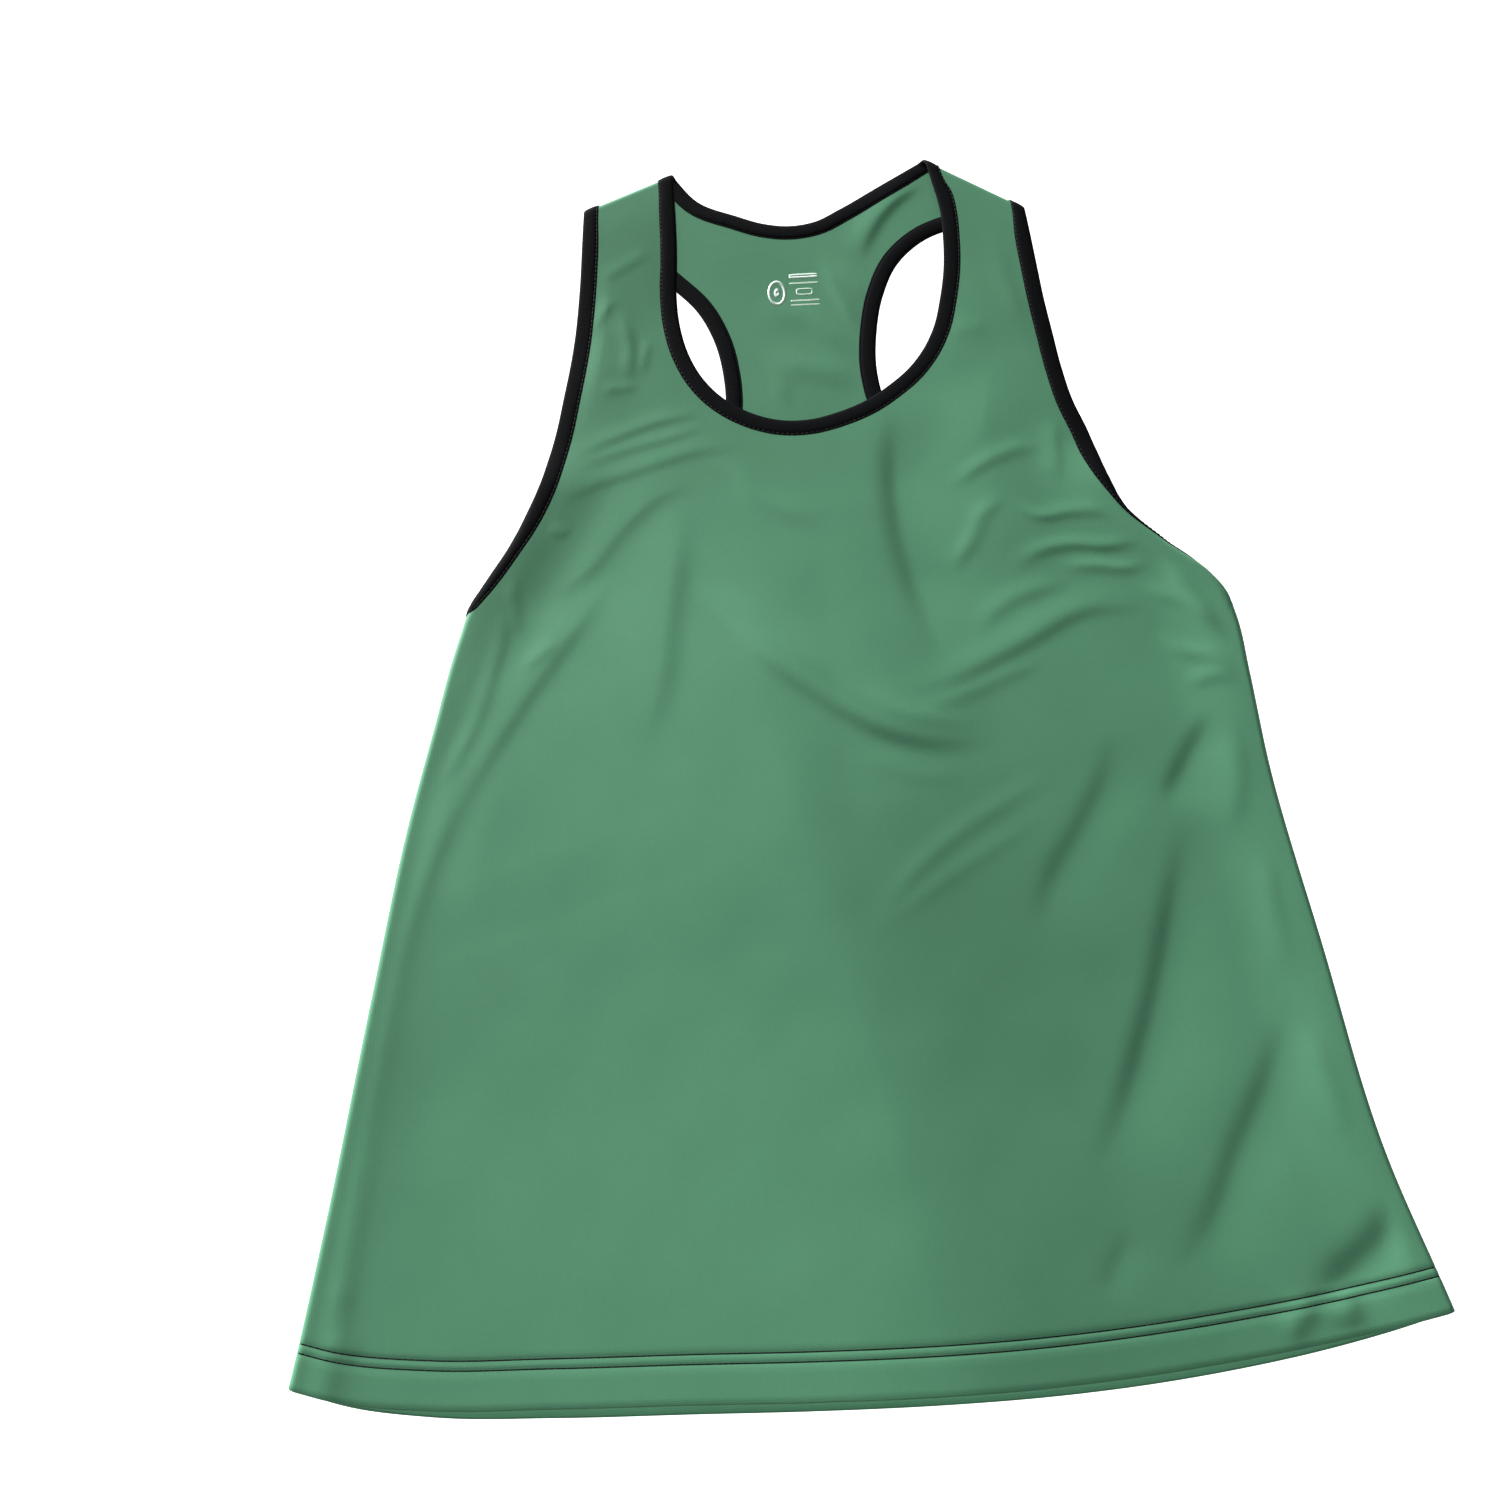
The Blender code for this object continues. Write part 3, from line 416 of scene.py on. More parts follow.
def panel_rows(panel):
    """Flat points of a panel: whole rows up to the foot of the neck, then the two straps."""
    runs = edge_runs(panel)
    sides = (np.array([1.0, 0.0]), np.array([-1.0, 0.0]))
    arms = [edge_frame(panel[name], runs[name]) for name in ("arm_left", "arm_right")]
    necks = [edge_frame(panel["neck"], runs[name]) for name in ("neck_left", "neck_right")]
    arc = edge_frame(panel["neck"], runs["arc"])[0]
    feet = [np.array([x, hem_height(x, panel["rise"])]) for x in panel["feet"]]
    tops = [necks[0][0][0], necks[1][0][0]]
    waists = [foot + (top - foot) * (panel["waist"] - foot[1]) / (top[1] - foot[1])
              for foot, top in zip(feet, tops)]
    inside_hem = HEM_ROWS[-1]
    heights = [(rise, 0.0) for rise in HEM_ROWS]
    heights += [(inside_hem, 1 - (1 - g) ** ROW_CROWDING)
                for g in np.linspace(0, 1, panel["body"] + 1)[1:]]
    rows = []
    for rise, share in heights:
        row = []
        for column, low in ((0, UNDERARM_LEFT), (1, UNDERARM_RIGHT)):
            start = hem_height(side_rows(HEM_DEPTH)[column], panel["rise"])
            height = start + rise + share * (low - start - inside_hem)
            foot, waist = feet[column], waists[column]
            line = foot + (waist - foot) * (
                rise + share * (waist[1] - foot[1] - inside_hem)) / (waist[1] - foot[1])
            way = unit(sides[column] + arms[column][1][0] * ease((share - 0.8) / 0.2))
            row.append((seam_point(height, column, panel), way, line, -sides[column]))
        rows.append(row)
    chest = panel["chest"]
    for n in range(len(arms[0][0])):
        row = []
        for column in (0, 1):
            edge, way = arms[column][0][n], arms[column][1][n]
            turn = ease((n + 1) / TURN_ROWS)
            way = unit(way * turn + unit(sides[column] + arms[column][1][0]) * (1 - turn))
            if n < chest:
                up, top, waist = arms[column][0][:chest, 1], tops[column], waists[column]
                low = up[0] - 3
                share = (up[n] - low) / (up[-1] - low)
                level = (up[n] + (waist[1] - low) * (1 - share)
                         + (top[1] - up[-1]) * max(0, 2 * share - 1) ** 1.5)
                line = waist + (top - waist) * (level - waist[1]) / (top[1] - waist[1])
                turn = ease((share - 0.6) / 0.4)
                neck_way = unit(-sides[column] * (1 - turn) + necks[column][1][0] * turn)
            else:
                line, neck_way = (part[n - chest + 1] for part in necks[column])
            row.append((edge, way, line, neck_way))
        rows.append(row)
    whole = len(heights) + chest
    lines = []
    for number, (left, right) in enumerate(rows):
        west = block(*left, panel["side"])
        east = block(*right, panel["side"])[::-1]
        middle = []
        if number < whole:
            top = (number / (whole - 1)) ** 3
            shares = np.linspace(0, 1, panel["middle"] + 1)
            chord = [tops[0] * (1 - g) + tops[1] * g for g in shares]
            middle = [west[-1] * (1 - g) + east[0] * g + (arc[k] - chord[k]) * top
                      for k, g in enumerate(shares)][1:-1]
        line = np.array(west + middle + east)
        if number == 0:
            drawn = line.copy()
        if number < len(heights):
            sag = hem_height(line[:, 0], panel["rise"])
            sag -= np.interp(line[:, 0], drawn[:, 0], drawn[:, 1])
            line[:, 1] += sag * (1 - ease(heights[number][1] * 2.5))
        lines.append(line)
    return lines, whole, len(west), len(heights)


def strip_faces(low, high):
    """Quads between two rows of point numbers."""
    return [(low[c], low[c + 1], high[c + 1], high[c]) for c in range(len(low) - 1)]


def seam_dip(distance):
    """How far the cloth dips into a seam, at a distance from it."""
    return -GROOVE[1] * np.clip(1 - np.asarray(distance) / GROOVE[0], 0, 1) ** 2


def weave_panel(panel):
    """Outer face of a panel, with its hem turned up inside: points, flat points and faces."""
    lines, whole, west, below = panel_rows(panel)
    outer = [lay(line, panel) for line in lines]
    shoulder = len(lines) - len(SHOULDER_ROWS)
    for number, line in enumerate(lines):
        from_seam = np.full(len(line), np.inf)
        if number < below:
            from_seam[:len(RIM)], from_seam[-len(RIM):] = RIM, RIM[::-1]
        if number >= shoulder:
            from_seam[:] = SHOULDER_ROWS[number - shoulder]
        dip = from_seam < GROOVE[0]
        if dip.any():
            outer[number][dip] = lay_lifted(line[dip], panel, seam_dip(from_seam[dip]))
    hem = [n for n, rise in enumerate(HEM_ROWS) if rise <= HEM_DEPTH + 1]
    inner = [lay_lifted(lines[n] * (HEM_SHORT, 1), panel, np.full(len(lines[n]), -2 * HEM_TURN))
             for n in hem]
    centre = (outer[0] + inner[0]) / 2
    radial = outer[0] - centre
    down = outer[0] - outer[1]
    down -= radial * ((down * radial).sum(-1) / (radial * radial).sum(-1))[:, None]
    down *= HEM_TURN / np.linalg.norm(down, axis=1, keepdims=True)
    turn = [centre + radial * math.cos(math.radians(a)) + down * math.sin(math.radians(a))
            for a in HEM_ANGLES]
    flat_turn = [lines[0] - (0, HEM_TURN * math.radians(a)) for a in HEM_ANGLES]
    flat_inner = [lines[n] * (1, -1) + (0, 2 * lines[0][:, 1].mean()) for n in hem]
    rows = inner[::-1] + turn + outer[:whole]
    flats = flat_inner[::-1] + flat_turn + lines[:whole]
    columns = len(rows[0])
    points, flat, faces = list(np.concatenate(rows)), list(np.concatenate(flats)), []
    for r in range(len(rows) - 1):
        low, high = (range(n * columns, (n + 1) * columns) for n in (r, r + 1))
        faces += strip_faces(low, high)
    for start in (0, columns - west):
        low = range((len(rows) - 1) * columns + start, (len(rows) - 1) * columns + start + west)
        for row, line in zip(outer[whole:], lines[whole:]):
            high = range(len(points), len(points) + west)
            part = slice(0, west) if start == 0 else slice(-west, None)
            points += list(row[part])
            flat += list(line[part])
            faces += strip_faces(low, high)
            low = high
    if panel["out"] < 0:
        faces = [face[::-1] for face in faces]
    return np.array(points), np.array(flat), faces


def linear(hex_colour, alpha=1.0):
    """sRGB hex to the linear colour that the shader takes."""
    parts = [int(hex_colour[n:n + 2], 16) / 255 for n in (1, 3, 5)]
    return tuple(p / 12.92 if p <= 0.04045 else ((p + 0.055) / 1.055) ** 2.4
                 for p in parts) + (alpha,)


def new_material(name, settings):
    """A material with a Principled shader, and its own sockets set."""
    material = bpy.data.materials.new(name)
    material.use_nodes = True
    shader = material.node_tree.nodes["Principled BSDF"]
    for socket, value in settings.items():
        shader.inputs[socket].default_value = value
    return material, material.node_tree, shader


def node(tree, kind, links=None, **settings):
    """Add a node, set its options and inputs, and link what feeds it."""
    made = tree.nodes.new(kind)
    for name, value in settings.items():
        if hasattr(made, name):
            setattr(made, name, value)
    for name, value in (links or {}).items():
        if isinstance(value, bpy.types.NodeSocket):
            tree.links.new(value, made.inputs[name])
        else:
            made.inputs[name].default_value = value
    return made


def cloth_shader(name, dark, light, roughness, gloss, stitch, hollow_shade, relief, seed):
    """Knitted cloth: loops in columns, with uneven dye and painted shade in the hollows of the
    loops.

    stitch is the width and the height of a loop in millimetres, and hollow_shade the depth of the
    painted shade in the hollows between the loop columns. The UV map is the cloth's flat plane in
    metres.
    """
    material, tree, shader = new_material(name, {
        "Roughness": roughness, "IOR": 1.5, "Specular IOR Level": gloss})
    flat = node(tree, "ShaderNodeUVMap", uv_map="flat").outputs[0]

    def sums(operation, *values):
        return node(tree, "ShaderNodeMath", dict(enumerate(values)),
                    operation=operation).outputs[0]

    def noise(scale, detail):
        return node(tree, "ShaderNodeTexNoise",
                    {"Vector": flat, "Scale": scale, "Detail": detail, "W": float(seed)},
                    noise_dimensions="4D").outputs[0]

    split = node(tree, "ShaderNodeSeparateXYZ", {0: flat})
    wale = sums("MULTIPLY", split.outputs[0], math.pi / (stitch[0] * MM))
    wale = sums("ABSOLUTE", sums("SINE", wale))
    course = sums("MULTIPLY", split.outputs[1], 2 * math.pi / (stitch[1] * MM))
    loop = sums("SINE", sums("MULTIPLY_ADD", wale, 2.6, course))
    loop = sums("MULTIPLY_ADD", loop, 0.25, wale)
    spread, fuzz = noise(22.0, 3.0), noise(420.0, 2.0)     # dye patches 45 mm wide, fuzz 2.4 mm
    # painted shade: the colour follows the loops and is darker in their hollows, on top of the dye
    # patches
    mixed = sums("MULTIPLY_ADD", loop, hollow_shade, spread)
    mixed = sums("MULTIPLY_ADD", fuzz, 0.5, mixed)
    shade = node(tree, "ShaderNodeMapRange",
                 {"Value": mixed, "From Min": 0.45, "From Max": 1.25 + hollow_shade}).outputs[0]
    colour = node(tree, "ShaderNodeMix",
                  {"Factor": shade, 6: linear(dark), 7: linear(light)},
                  data_type="RGBA").outputs[2]
    tree.links.new(colour, shader.inputs["Base Color"])
    height = sums("MULTIPLY_ADD", fuzz, 0.6, loop)
    bump = node(tree, "ShaderNodeBump",
                {"Height": height, "Strength": relief, "Distance": 0.15 * MM})
    tree.links.new(bump.outputs[0], shader.inputs["Normal"])
    return material


# Polyester interlock, dyed in the piece: matt, with a faint mottle and loops about 0.6 mm wide,
# and painted shade a little darker in the loops' hollows. They are drawn twice as wide, because
# the real ones are finer than the picture shows.
interlock = cloth_shader("polyester interlock, green", "#4a8061", "#548a6b", 0.72, 0.2,
                         (1.2, 1.0), 0.10, 0.16, 3)


def put(name, data):
    """An object in the scene."""
    made = bpy.data.objects.new(name, data)
    bpy.context.scene.collection.objects.link(made)
    return made


def make_piece(name, points, flat, faces, material):
    """A mesh piece in the frame, with its flat plane as UV map, riding on the body."""
    mesh = bpy.data.meshes.new(name)
    placed = (np.asarray(points) - (ORIGIN[0], ORIGIN[1], 0)) * MM
    mesh.from_pydata(placed.tolist(), [], [tuple(map(int, face)) for face in faces])
    if flat is not None:
        corners = np.zeros(len(mesh.loops), int)
        mesh.loops.foreach_get("vertex_index", corners)
        layer = mesh.uv_layers.new(name="flat")
        layer.data.foreach_set("uv", (np.asarray(flat)[corners] * MM).ravel())
    mesh.materials.append(material)
    mesh.shade_smooth()
    piece = put(name, mesh)
    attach(piece, "root")
    return piece


def thicken(piece, thickness):
    wall = piece.modifiers.new("wall", "SOLIDIFY")
    wall.thickness = thickness * MM
    wall.offset = -1


back_points, back_flat, back_faces = weave_panel(BACK)
back = make_piece("back_panel", back_points, back_flat, back_faces, interlock)
thicken(back, CLOTH)
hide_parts("back")

# ----------------------------------------------------------------------------- front panel
# The front is one piece of the same knit with a deep scoop neck. It lies on the back, rolls
# over it at the sides and shoulders, and holds the folds that the top was laid down with.
FRONT_NECK = [
    SHOULDERS["left"][1], (-64, 660), (-64.5, 630), (-66, 605), (-65, 585), (-61, 566),
    (-54, 550), (-44, 537), (-29, 526), (-11, 519.5), (6, 519), (23, 523), (38, 529),
    (52, 538), (65, 549), (75, 562), (82, 576), (87, 593), (91, 612), (93, 634),
    (93, 655), (90, 675), SHOULDERS["right"][1],
]
LOFT = 1.3                     # air between the layers where nothing lifts the front
SUPPORT_RISE = (60, 200)       # front lifted by the back's tape, from the back's edges
OWN_TAPE_RISE = (12, 45)       # front lifted by its own tape, from its own edges
HEM_RISE = (25.5, 160)         # front lifted by the two turned-up hems, from its hem edge
LOFT_FADE = (0, 60)            # loft gone near the front's own edges
CREASE_FADES = ((4, 14), (3, 14))      # creases gone at the tape, and at a side fold
ABOVE_UNDERARM = (62, 36)      # side fold's pull on the front, above the underarm
SIDE_SPREAD = 42.0             # how far in from a side fold the front comes down to rest
SHOULDER_SPREAD = 90.0         # and how far down from a shoulder fold
SLACK = (5, 0.05, 40, 110)     # ripple of the slack cloth: seed, height, shortest, longest
# The large folds, each by its crest: spread on its left and on its right as the line runs
# upwards or to the right, and height.
LARGE_FOLDS = [
    ("broad ridge", [(66, -280), (30, 30), (-4, 232), (-46, 380), (-84, 500)], 170, 105, 11.5),
    ("right chest swell", [(92, 400), (104, 470), (106, 560)], 34, 50, 1.4),
]
# The sharp folds, each by the line where it falls away: spread on its gentle side and on its
# steep side (on the right of the line as it runs), and height. With a height below 0 the
# cloth falls off on the steep side into a trough and comes up again on the gentle one.
CREASES = [
    ("main swag", [(-74, 420), (-54, 400), (-29, 370), (-8, 352), (13, 336), (38, 323), (64, 318),
                   (92, 319)], 20, 4.5, 1.7),
    ("upper swag, left", [(-66, 416), (-37, 398), (-20, 380), (0, 362), (20, 347)], 8, 3, 0.3),
    ("upper swag, right", [(0, 362), (18, 348), (38, 336), (57, 331), (86, 327)], 5, 3, 0.3),
    ("small swag", [(8, 315), (32, 304), (54, 298), (76, 301)], 7, 4, 0.22),
    ("right swag", [(40, 351), (65, 352), (88, 361), (112, 373), (147, 390), (187, 388)],
     10, 4, 0.75),
    ("right swag, lower", [(50, 337), (75, 344), (97, 353), (124, 363)], 5, 3.5, 0.39),
    ("right swag, upper", [(86, 378), (103, 395), (120, 402), (144, 407)], 6, 4, 0.45),
    ("over the right back edge", [(52, 530), (46, 471), (47, 442), (52, 412), (66, 360)],
     34, 8, -1.6),
    ("over the left back edge", [(-96, 320), (-82, 361), (-76, 401), (-70, 437), (-69, 475)],
     24, 8, 0.9),
    ("chest diagonal", [(-150, 410), (-121, 430), (-98, 458), (-82, 472), (-54, 480)],
     18, 6, 0.6),
    ("left chest, centre", [(-58, 492), (-43, 487), (-31, 471), (-16, 459), (10, 447)], 9, 5, 0.4),
    ("left flank, top", [(-195, 294), (-162, 349), (-140, 380), (-106, 426)], 14, 5, 0.6),
    ("left flank, middle", [(-238, 130), (-222, 224), (-195, 294), (-162, 349)], 16, 6, 0.6),
    ("left flank, low", [(-262, -60), (-245, 78), (-235, 156), (-222, 224)], 16, 7, 0.6),
    ("left underarm", [(-214, 297), (-183, 344), (-174, 372), (-168, 395), (-169, 432)],
     5, 3, 0.34),
    ("left underarm, edge", [(-218, 305), (-204, 338), (-193, 367), (-174, 385)], 6, 4, 0.28),
    ("left underarm, short", [(-160, 394), (-161, 411), (-164, 434)], 4, 3, 0.31),
    ("left underarm, inner", [(-160, 372), (-137, 391)], 5, 3, 0.28),
    ("left chest, top", [(-132, 501), (-103, 513), (-80, 521), (-52, 525)], 5, 2.5, 0.3),
    ("left chest, middle", [(-130, 494), (-99, 504), (-71, 511), (-48, 518)], 4, 2.5, 0.25),
    ("left chest, low", [(-142, 471), (-117, 483), (-95, 490), (-54, 501), (-30, 501)],
     7, 3, 0.36),
    ("left armhole, short", [(-146, 460), (-138, 454), (-130, 456)], 4, 2.5, 0.28),
    ("left strap, first", [(-108, 644), (-82, 667)], 6, 4, 0.49),
    ("left strap, second", [(-112, 614), (-93, 626), (-76, 636)], 5, 3, 0.45),
    ("left strap, third", [(-118, 579), (-100, 606)], 5, 3.5, 0.45),
    ("left strap, upright", [(-95, 546), (-92, 571), (-98, 598)], 5, 4, 0.52),
    ("left strap, low", [(-114, 543), (-89, 544)], 4, 2.5, 0.3),
    ("left strap, roll", [(-106, 520), (-100, 575), (-96, 645)], 14, 16, 0.8),
    ("left strap, inner", [(-88, 551), (-81, 578)], 4, 3, 0.3),
    ("right strap, edge", [(143, 468), (146, 512)], 7, 4, 0.42),
    ("right strap, upper", [(141, 566), (131, 600), (125, 650)], 7, 5, 0.4),
    ("right strap, faint", [(88, 570), (114, 569)], 6, 4, 0.2),
    ("right chest, high", [(80, 467), (102, 482), (119, 489), (140, 492)], 5, 3.5, 0.45),
    ("right chest, middle", [(76, 416), (93, 439), (98, 450), (114, 462)], 5, 3.5, 0.48),
    ("right chest, level", [(111, 457), (129, 447), (145, 449), (176, 446)], 5, 3, 0.52),
    ("right chest, low", [(109, 414), (126, 426), (142, 429), (165, 427), (186, 431)],
     5, 3, 0.61),
    ("right chest, lowest", [(134, 416), (157, 415), (173, 413), (187, 417)], 4, 3.5, 0.56),
    ("right underarm, high", [(189, 424), (198, 400), (209, 382), (226, 360)], 7, 5, 0.9),
    ("right underarm, joining", [(176, 402), (199, 390), (216, 372)], 5, 4, 0.5),
    ("right underarm, middle", [(179, 376), (193, 363), (210, 357), (227, 341)], 5, 4, 0.5),
    ("right underarm, low", [(192, 342), (213, 347), (229, 341)], 5, 3.5, 0.42),
    ("right flank, short", [(206, 332), (188, 307), (169, 277)], 14, 5, -0.9),
    ("right flank, long", [(151, 326), (142, 297), (126, 271), (109, 247), (94, 212)],
     16, 6, -0.7),
    ("right flank, middle", [(184, 277), (170, 237), (156, 194), (141, 157), (125, 123),
                             (106, 94)], 22, 6.5, -1.19),
    ("right flank, low", [(221, 178), (198, 133), (181, 106), (165, 77), (138, 45)],
     20, 7, -1.0),
    ("right edge, high", [(206, 258), (219, 298), (217, 330)], 8, 6, 0.45),
    ("right edge, middle", [(228, 184), (224, 218), (227, 258)], 8, 6, 0.45),
    ("right edge, low", [(246, 102), (237, 136), (231, 168)], 8, 6, 0.45),
    ("pair, upper", [(14, 218), (43, 251), (73, 273), (100, 288), (124, 300)], 5, 3, 0.28),
    ("pair, lower", [(10, 212), (45, 237), (71, 253), (95, 267), (116, 281)], 4, 3, 0.2),
    ("above the hem, middle", [(124, 73), (104, 42)], 9, 5, -0.35),
    ("above the hem, right", [(262, 84), (240, 60), (204, 38)], 12, 8, -1.5),
    ("left corner", [(-264, 72), (-246, 58)], 5, 4, 0.3),
    ("left corner, in the hem", [(-257, 47), (-243, 34)], 5, 4, 0.34),
    ("right corner, in the hem", [(192, 15), (211, 32)], 7, 5, 0.8),
    ("right corner, second", [(226, 20), (229, 40)], 8, 6, 1.0),
]
OUTLINE_STEPS = 20             # points up each side of the back's outline


def inside(points, outline):
    """Whether each point lies inside a closed outline."""
    outline = np.array(outline, float)
    x, y = points[..., 0, None], points[..., 1, None]
    ax, ay = outline[:, 0], outline[:, 1]
    bx, by = np.roll(ax, -1), np.roll(ay, -1)
    crosses = (ay > y) != (by > y)
    at = ax + (y - ay) * (bx - ax) / np.where(by == ay, 1e-9, by - ay)
    return (crosses & (x < at)).sum(-1) % 2 == 1


def front_height(points):
    """Height of the front's outer face where it lies on the back, the tape or the table."""
    left, right = (np.linspace(HEM_LINE[0][1], low, OUTLINE_STEPS) for low in
                   (UNDERARM_LEFT, UNDERARM_RIGHT))
    left, right = (np.column_stack([side_rows(up)[:, column], up]) for column, up in
                   enumerate((left, right)))
    below = [(HEM_LINE[-1][0], -40), (HEM_LINE[0][0], -40)]
    outline = np.concatenate([left, BACK_ARMHOLE_LEFT, BACK_NECK, BACK_ARMHOLE_RIGHT,
                              right[::-1], below])
    edges = np.min([distance_to(points, line) for line in
                    (BACK_ARMHOLE_LEFT, BACK_ARMHOLE_RIGHT, BACK_NECK)], axis=0)
    stack = CLOTH + 2 * TAPE_REST
    on_back = CLOTH + 2 * TAPE_REST * near(edges, *SUPPORT_RISE)
    on_table = stack * near(edges, *SUPPORT_RISE)
    support = np.where(inside(points, outline), on_back, on_table)
    own = np.min([distance_to(points, line) for line in
                  (FRONT_ARMHOLE_LEFT, FRONT_ARMHOLE_RIGHT, FRONT_NECK)], axis=0)
    rest = support + TUCK + TAPE_REST * near(own, *OWN_TAPE_RISE) + CLOTH
    hem_edge = hem_height(points[..., 0], FRONT["rise"])
    rest = rest + 2 * LAYER * near(points[..., 1] - hem_edge, *HEM_RISE)
    creased = crease_height(points, CREASES) + ripple(points, *SLACK)
    loft = LOFT + crease_height(points, LARGE_FOLDS, 0, 1.6)
    loft = loft.clip(0) * (1 - near(own, *LOFT_FADE))
    rest = rest + loft
    sides = side_rows(points[..., 1])
    from_fold = np.minimum(points[..., 0] - sides[..., 0], sides[..., 1] - points[..., 0])
    folded = 1 - ease(from_fold / SIDE_SPREAD)
    low = np.where(points[..., 0] < 0, UNDERARM_LEFT, UNDERARM_RIGHT)
    beside = near(points[..., 1] - low, *ABOVE_UNDERARM)
    folded = folded * beside
    at_tape, by_fold = CREASE_FADES
    creased = creased * (1 - near(own, *at_tape)) * (1 - near(from_fold, *by_fold) * beside)
    over_line = np.stack([np.where(points[..., 0] < 0, sides[..., 0], sides[..., 1]),
                          points[..., 1]], axis=-1)
    at_fold = back_resting(over_line) + 2 * FOLD_RADIUS
    down = -np.max([shoulder_beyond(points, side)[0] for side in SHOULDERS], axis=0)
    shoulder = 1 - ease(down / SHOULDER_SPREAD)
    top = rest * (1 - folded) + at_fold * folded + creased
    top = top * (1 - shoulder) + (TAPE_REST + 2 * FOLD_RADIUS) * shoulder
    return top - stitch_groove(points, hem_edge)


FRONT = {
    "height": front_height, "out": 1, "rise": 4.6,
    "arm_left": FRONT_ARMHOLE_LEFT, "neck": FRONT_NECK, "arm_right": FRONT_ARMHOLE_RIGHT,
    "turns": (6, 14), "feet": (-95, 115), "waist": 440, "below": (0.58, 0.61),
    "body": 116, "side": 44, "middle": 56, "chest": 56, "strap": 42,
}
front_points, front_flat, front_faces = weave_panel(FRONT)
front = make_piece("front_panel", front_points, front_flat, front_faces, interlock)
thicken(front, CLOTH)
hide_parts("front")

# --------------------------------------------------------------------------- neck binding
# A 10 mm tape of fine black rib knit, folded over the raw edge and stitched down, round the
# whole neck. It is one closed ring, slightly domed between its fold and its edge stitching.
TAPE = 0.6                     # thickness of the tape
TAPE_DOME = 0.35               # how far the tape stands up between fold and stitching
EDGE_STITCH = 8.2              # from the raw edge in to the stitching
TAPE_STEP = 2.0                # distance between sections
SKIRT = 9.2                    # how far in from the raw edge the tape reaches
# Polyester rib tape: deep matt black with fine upright ribs, painted darker in the hollows between
# the ribs as painted shade, and hardly any shine.
ribbed = cloth_shader("polyester rib tape, black", "#050608", "#0b0c0e", 0.85, 0.05,
                      (0.9, 0.9), 0.6, 0.4, 8)


def tape_profile():
    """Closed outline of the folded tape: how far in from the raw edge, and how far out."""
    leg = np.array([SKIRT, 8.9, EDGE_STITCH + 0.3, EDGE_STITCH, EDGE_STITCH - 0.4, 7.0, 5.4,
                    3.8, 2.2, 0.8])
    dome = TAPE_DOME * np.sin(np.pi * np.clip(1 - leg / EDGE_STITCH, 0, 1) ** 0.8) ** 0.8
    dome -= 0.16 * np.exp(-((leg - EDGE_STITCH) / 0.3) ** 2)
    lift = TUCK / 2 + TAPE + dome
    upper = list(zip(leg, lift))
    upper[0] = (SKIRT, TUCK / 2 + 0.3)
    middle, reach = -CLOTH / 2, CLOTH / 2 + TUCK / 2 + TAPE
    fold = [(-0.75 * reach * math.cos(math.radians(a)), middle + reach * math.sin(
        math.radians(a))) for a in (60, 30, 0, -30, -60)]
    lower = [(s, -CLOTH - z) for s, z in upper[::-1]]
    inner = [(SKIRT - 0.2, -CLOTH - TUCK / 2), (4.0, -CLOTH - TUCK / 2), (0.0, -CLOTH - 0.05),
             (-0.15, -CLOTH / 2), (0.0, 0.05), (4.0, TUCK / 2), (SKIRT - 0.2, TUCK / 2)]
    return upper + fold + lower + inner


def tape_sections(panel, raw, inward, mitre):
    """The tape's outline at each section along an edge of a panel."""
    straight = unit(lay(raw + 0.3 * inward, panel) - lay(raw - 0.3 * inward, panel))
    inset, lift = np.array(tape_profile()).T
    flat = raw[:, None] + np.maximum(inset, 0)[:, None] * inward[:, None]
    over = (np.minimum(inset, 0) * mitre[:, None])[..., None] * straight[:, None]
    return lay_lifted(flat, panel, np.broadcast_to(lift, flat.shape[:2])) + over


def weave_tape(sections, closed):
    """Faces round and along a tape, capped at its ends where it isn't a ring."""
    count, ring = sections.shape[:2]
    faces = []
    for n in range(count if closed else count - 1):
        low, high = n * ring, (n + 1) % count * ring
        faces += [(low + k, low + (k + 1) % ring, high + (k + 1) % ring, high + k)
                  for k in range(ring)]
    if not closed:
        faces += [tuple(range(ring)), tuple(range((count - 1) * ring, count * ring))[::-1]]
    run = lengths(sections[:, 0])[:, None] + np.zeros(ring)
    around = np.concatenate([[0], np.cumsum(np.linalg.norm(
        np.diff(np.array(tape_profile()), axis=0), axis=1))])[None, :] + np.zeros((count, 1))
    flat = np.stack([run, around], axis=-1).reshape(-1, 2)
    return sections.reshape(-1, 3), flat, faces


def neck_runs(panel):
    runs = edge_runs(panel)
    first, last = runs["neck_left"][-1], runs["neck_right"][-1]
    return np.linspace(first, last, round((last - first) / TAPE_STEP) + 1)


neck_sections = []
for panel in (FRONT, BACK):
    raw, inward = edge_frame(panel["neck"], neck_runs(panel))
    sections = tape_sections(panel, raw, inward, np.ones(len(raw)))
    neck_sections.append(sections if panel is FRONT else sections[-2:0:-1])
neck_points, neck_flat, neck_faces = weave_tape(np.concatenate(neck_sections), True)
neck_tape = make_piece("neck_tape", neck_points, neck_flat, neck_faces, ribbed)
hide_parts("neck_binding")

# ------------------------------------------------------------------------ armhole bindings
# The same tape round each armhole: up the front from the side seam, over the shoulder seam,
# and down the back to the side seam again, with its two ends caught in that seam.
UNDERARMS = {"arm_left": (0, UNDERARM_LEFT), "arm_right": (1, UNDERARM_RIGHT)}
TAPE_FAN = np.linspace(0, 0.9, 10)     # the tape's turn towards the side seam, in shares


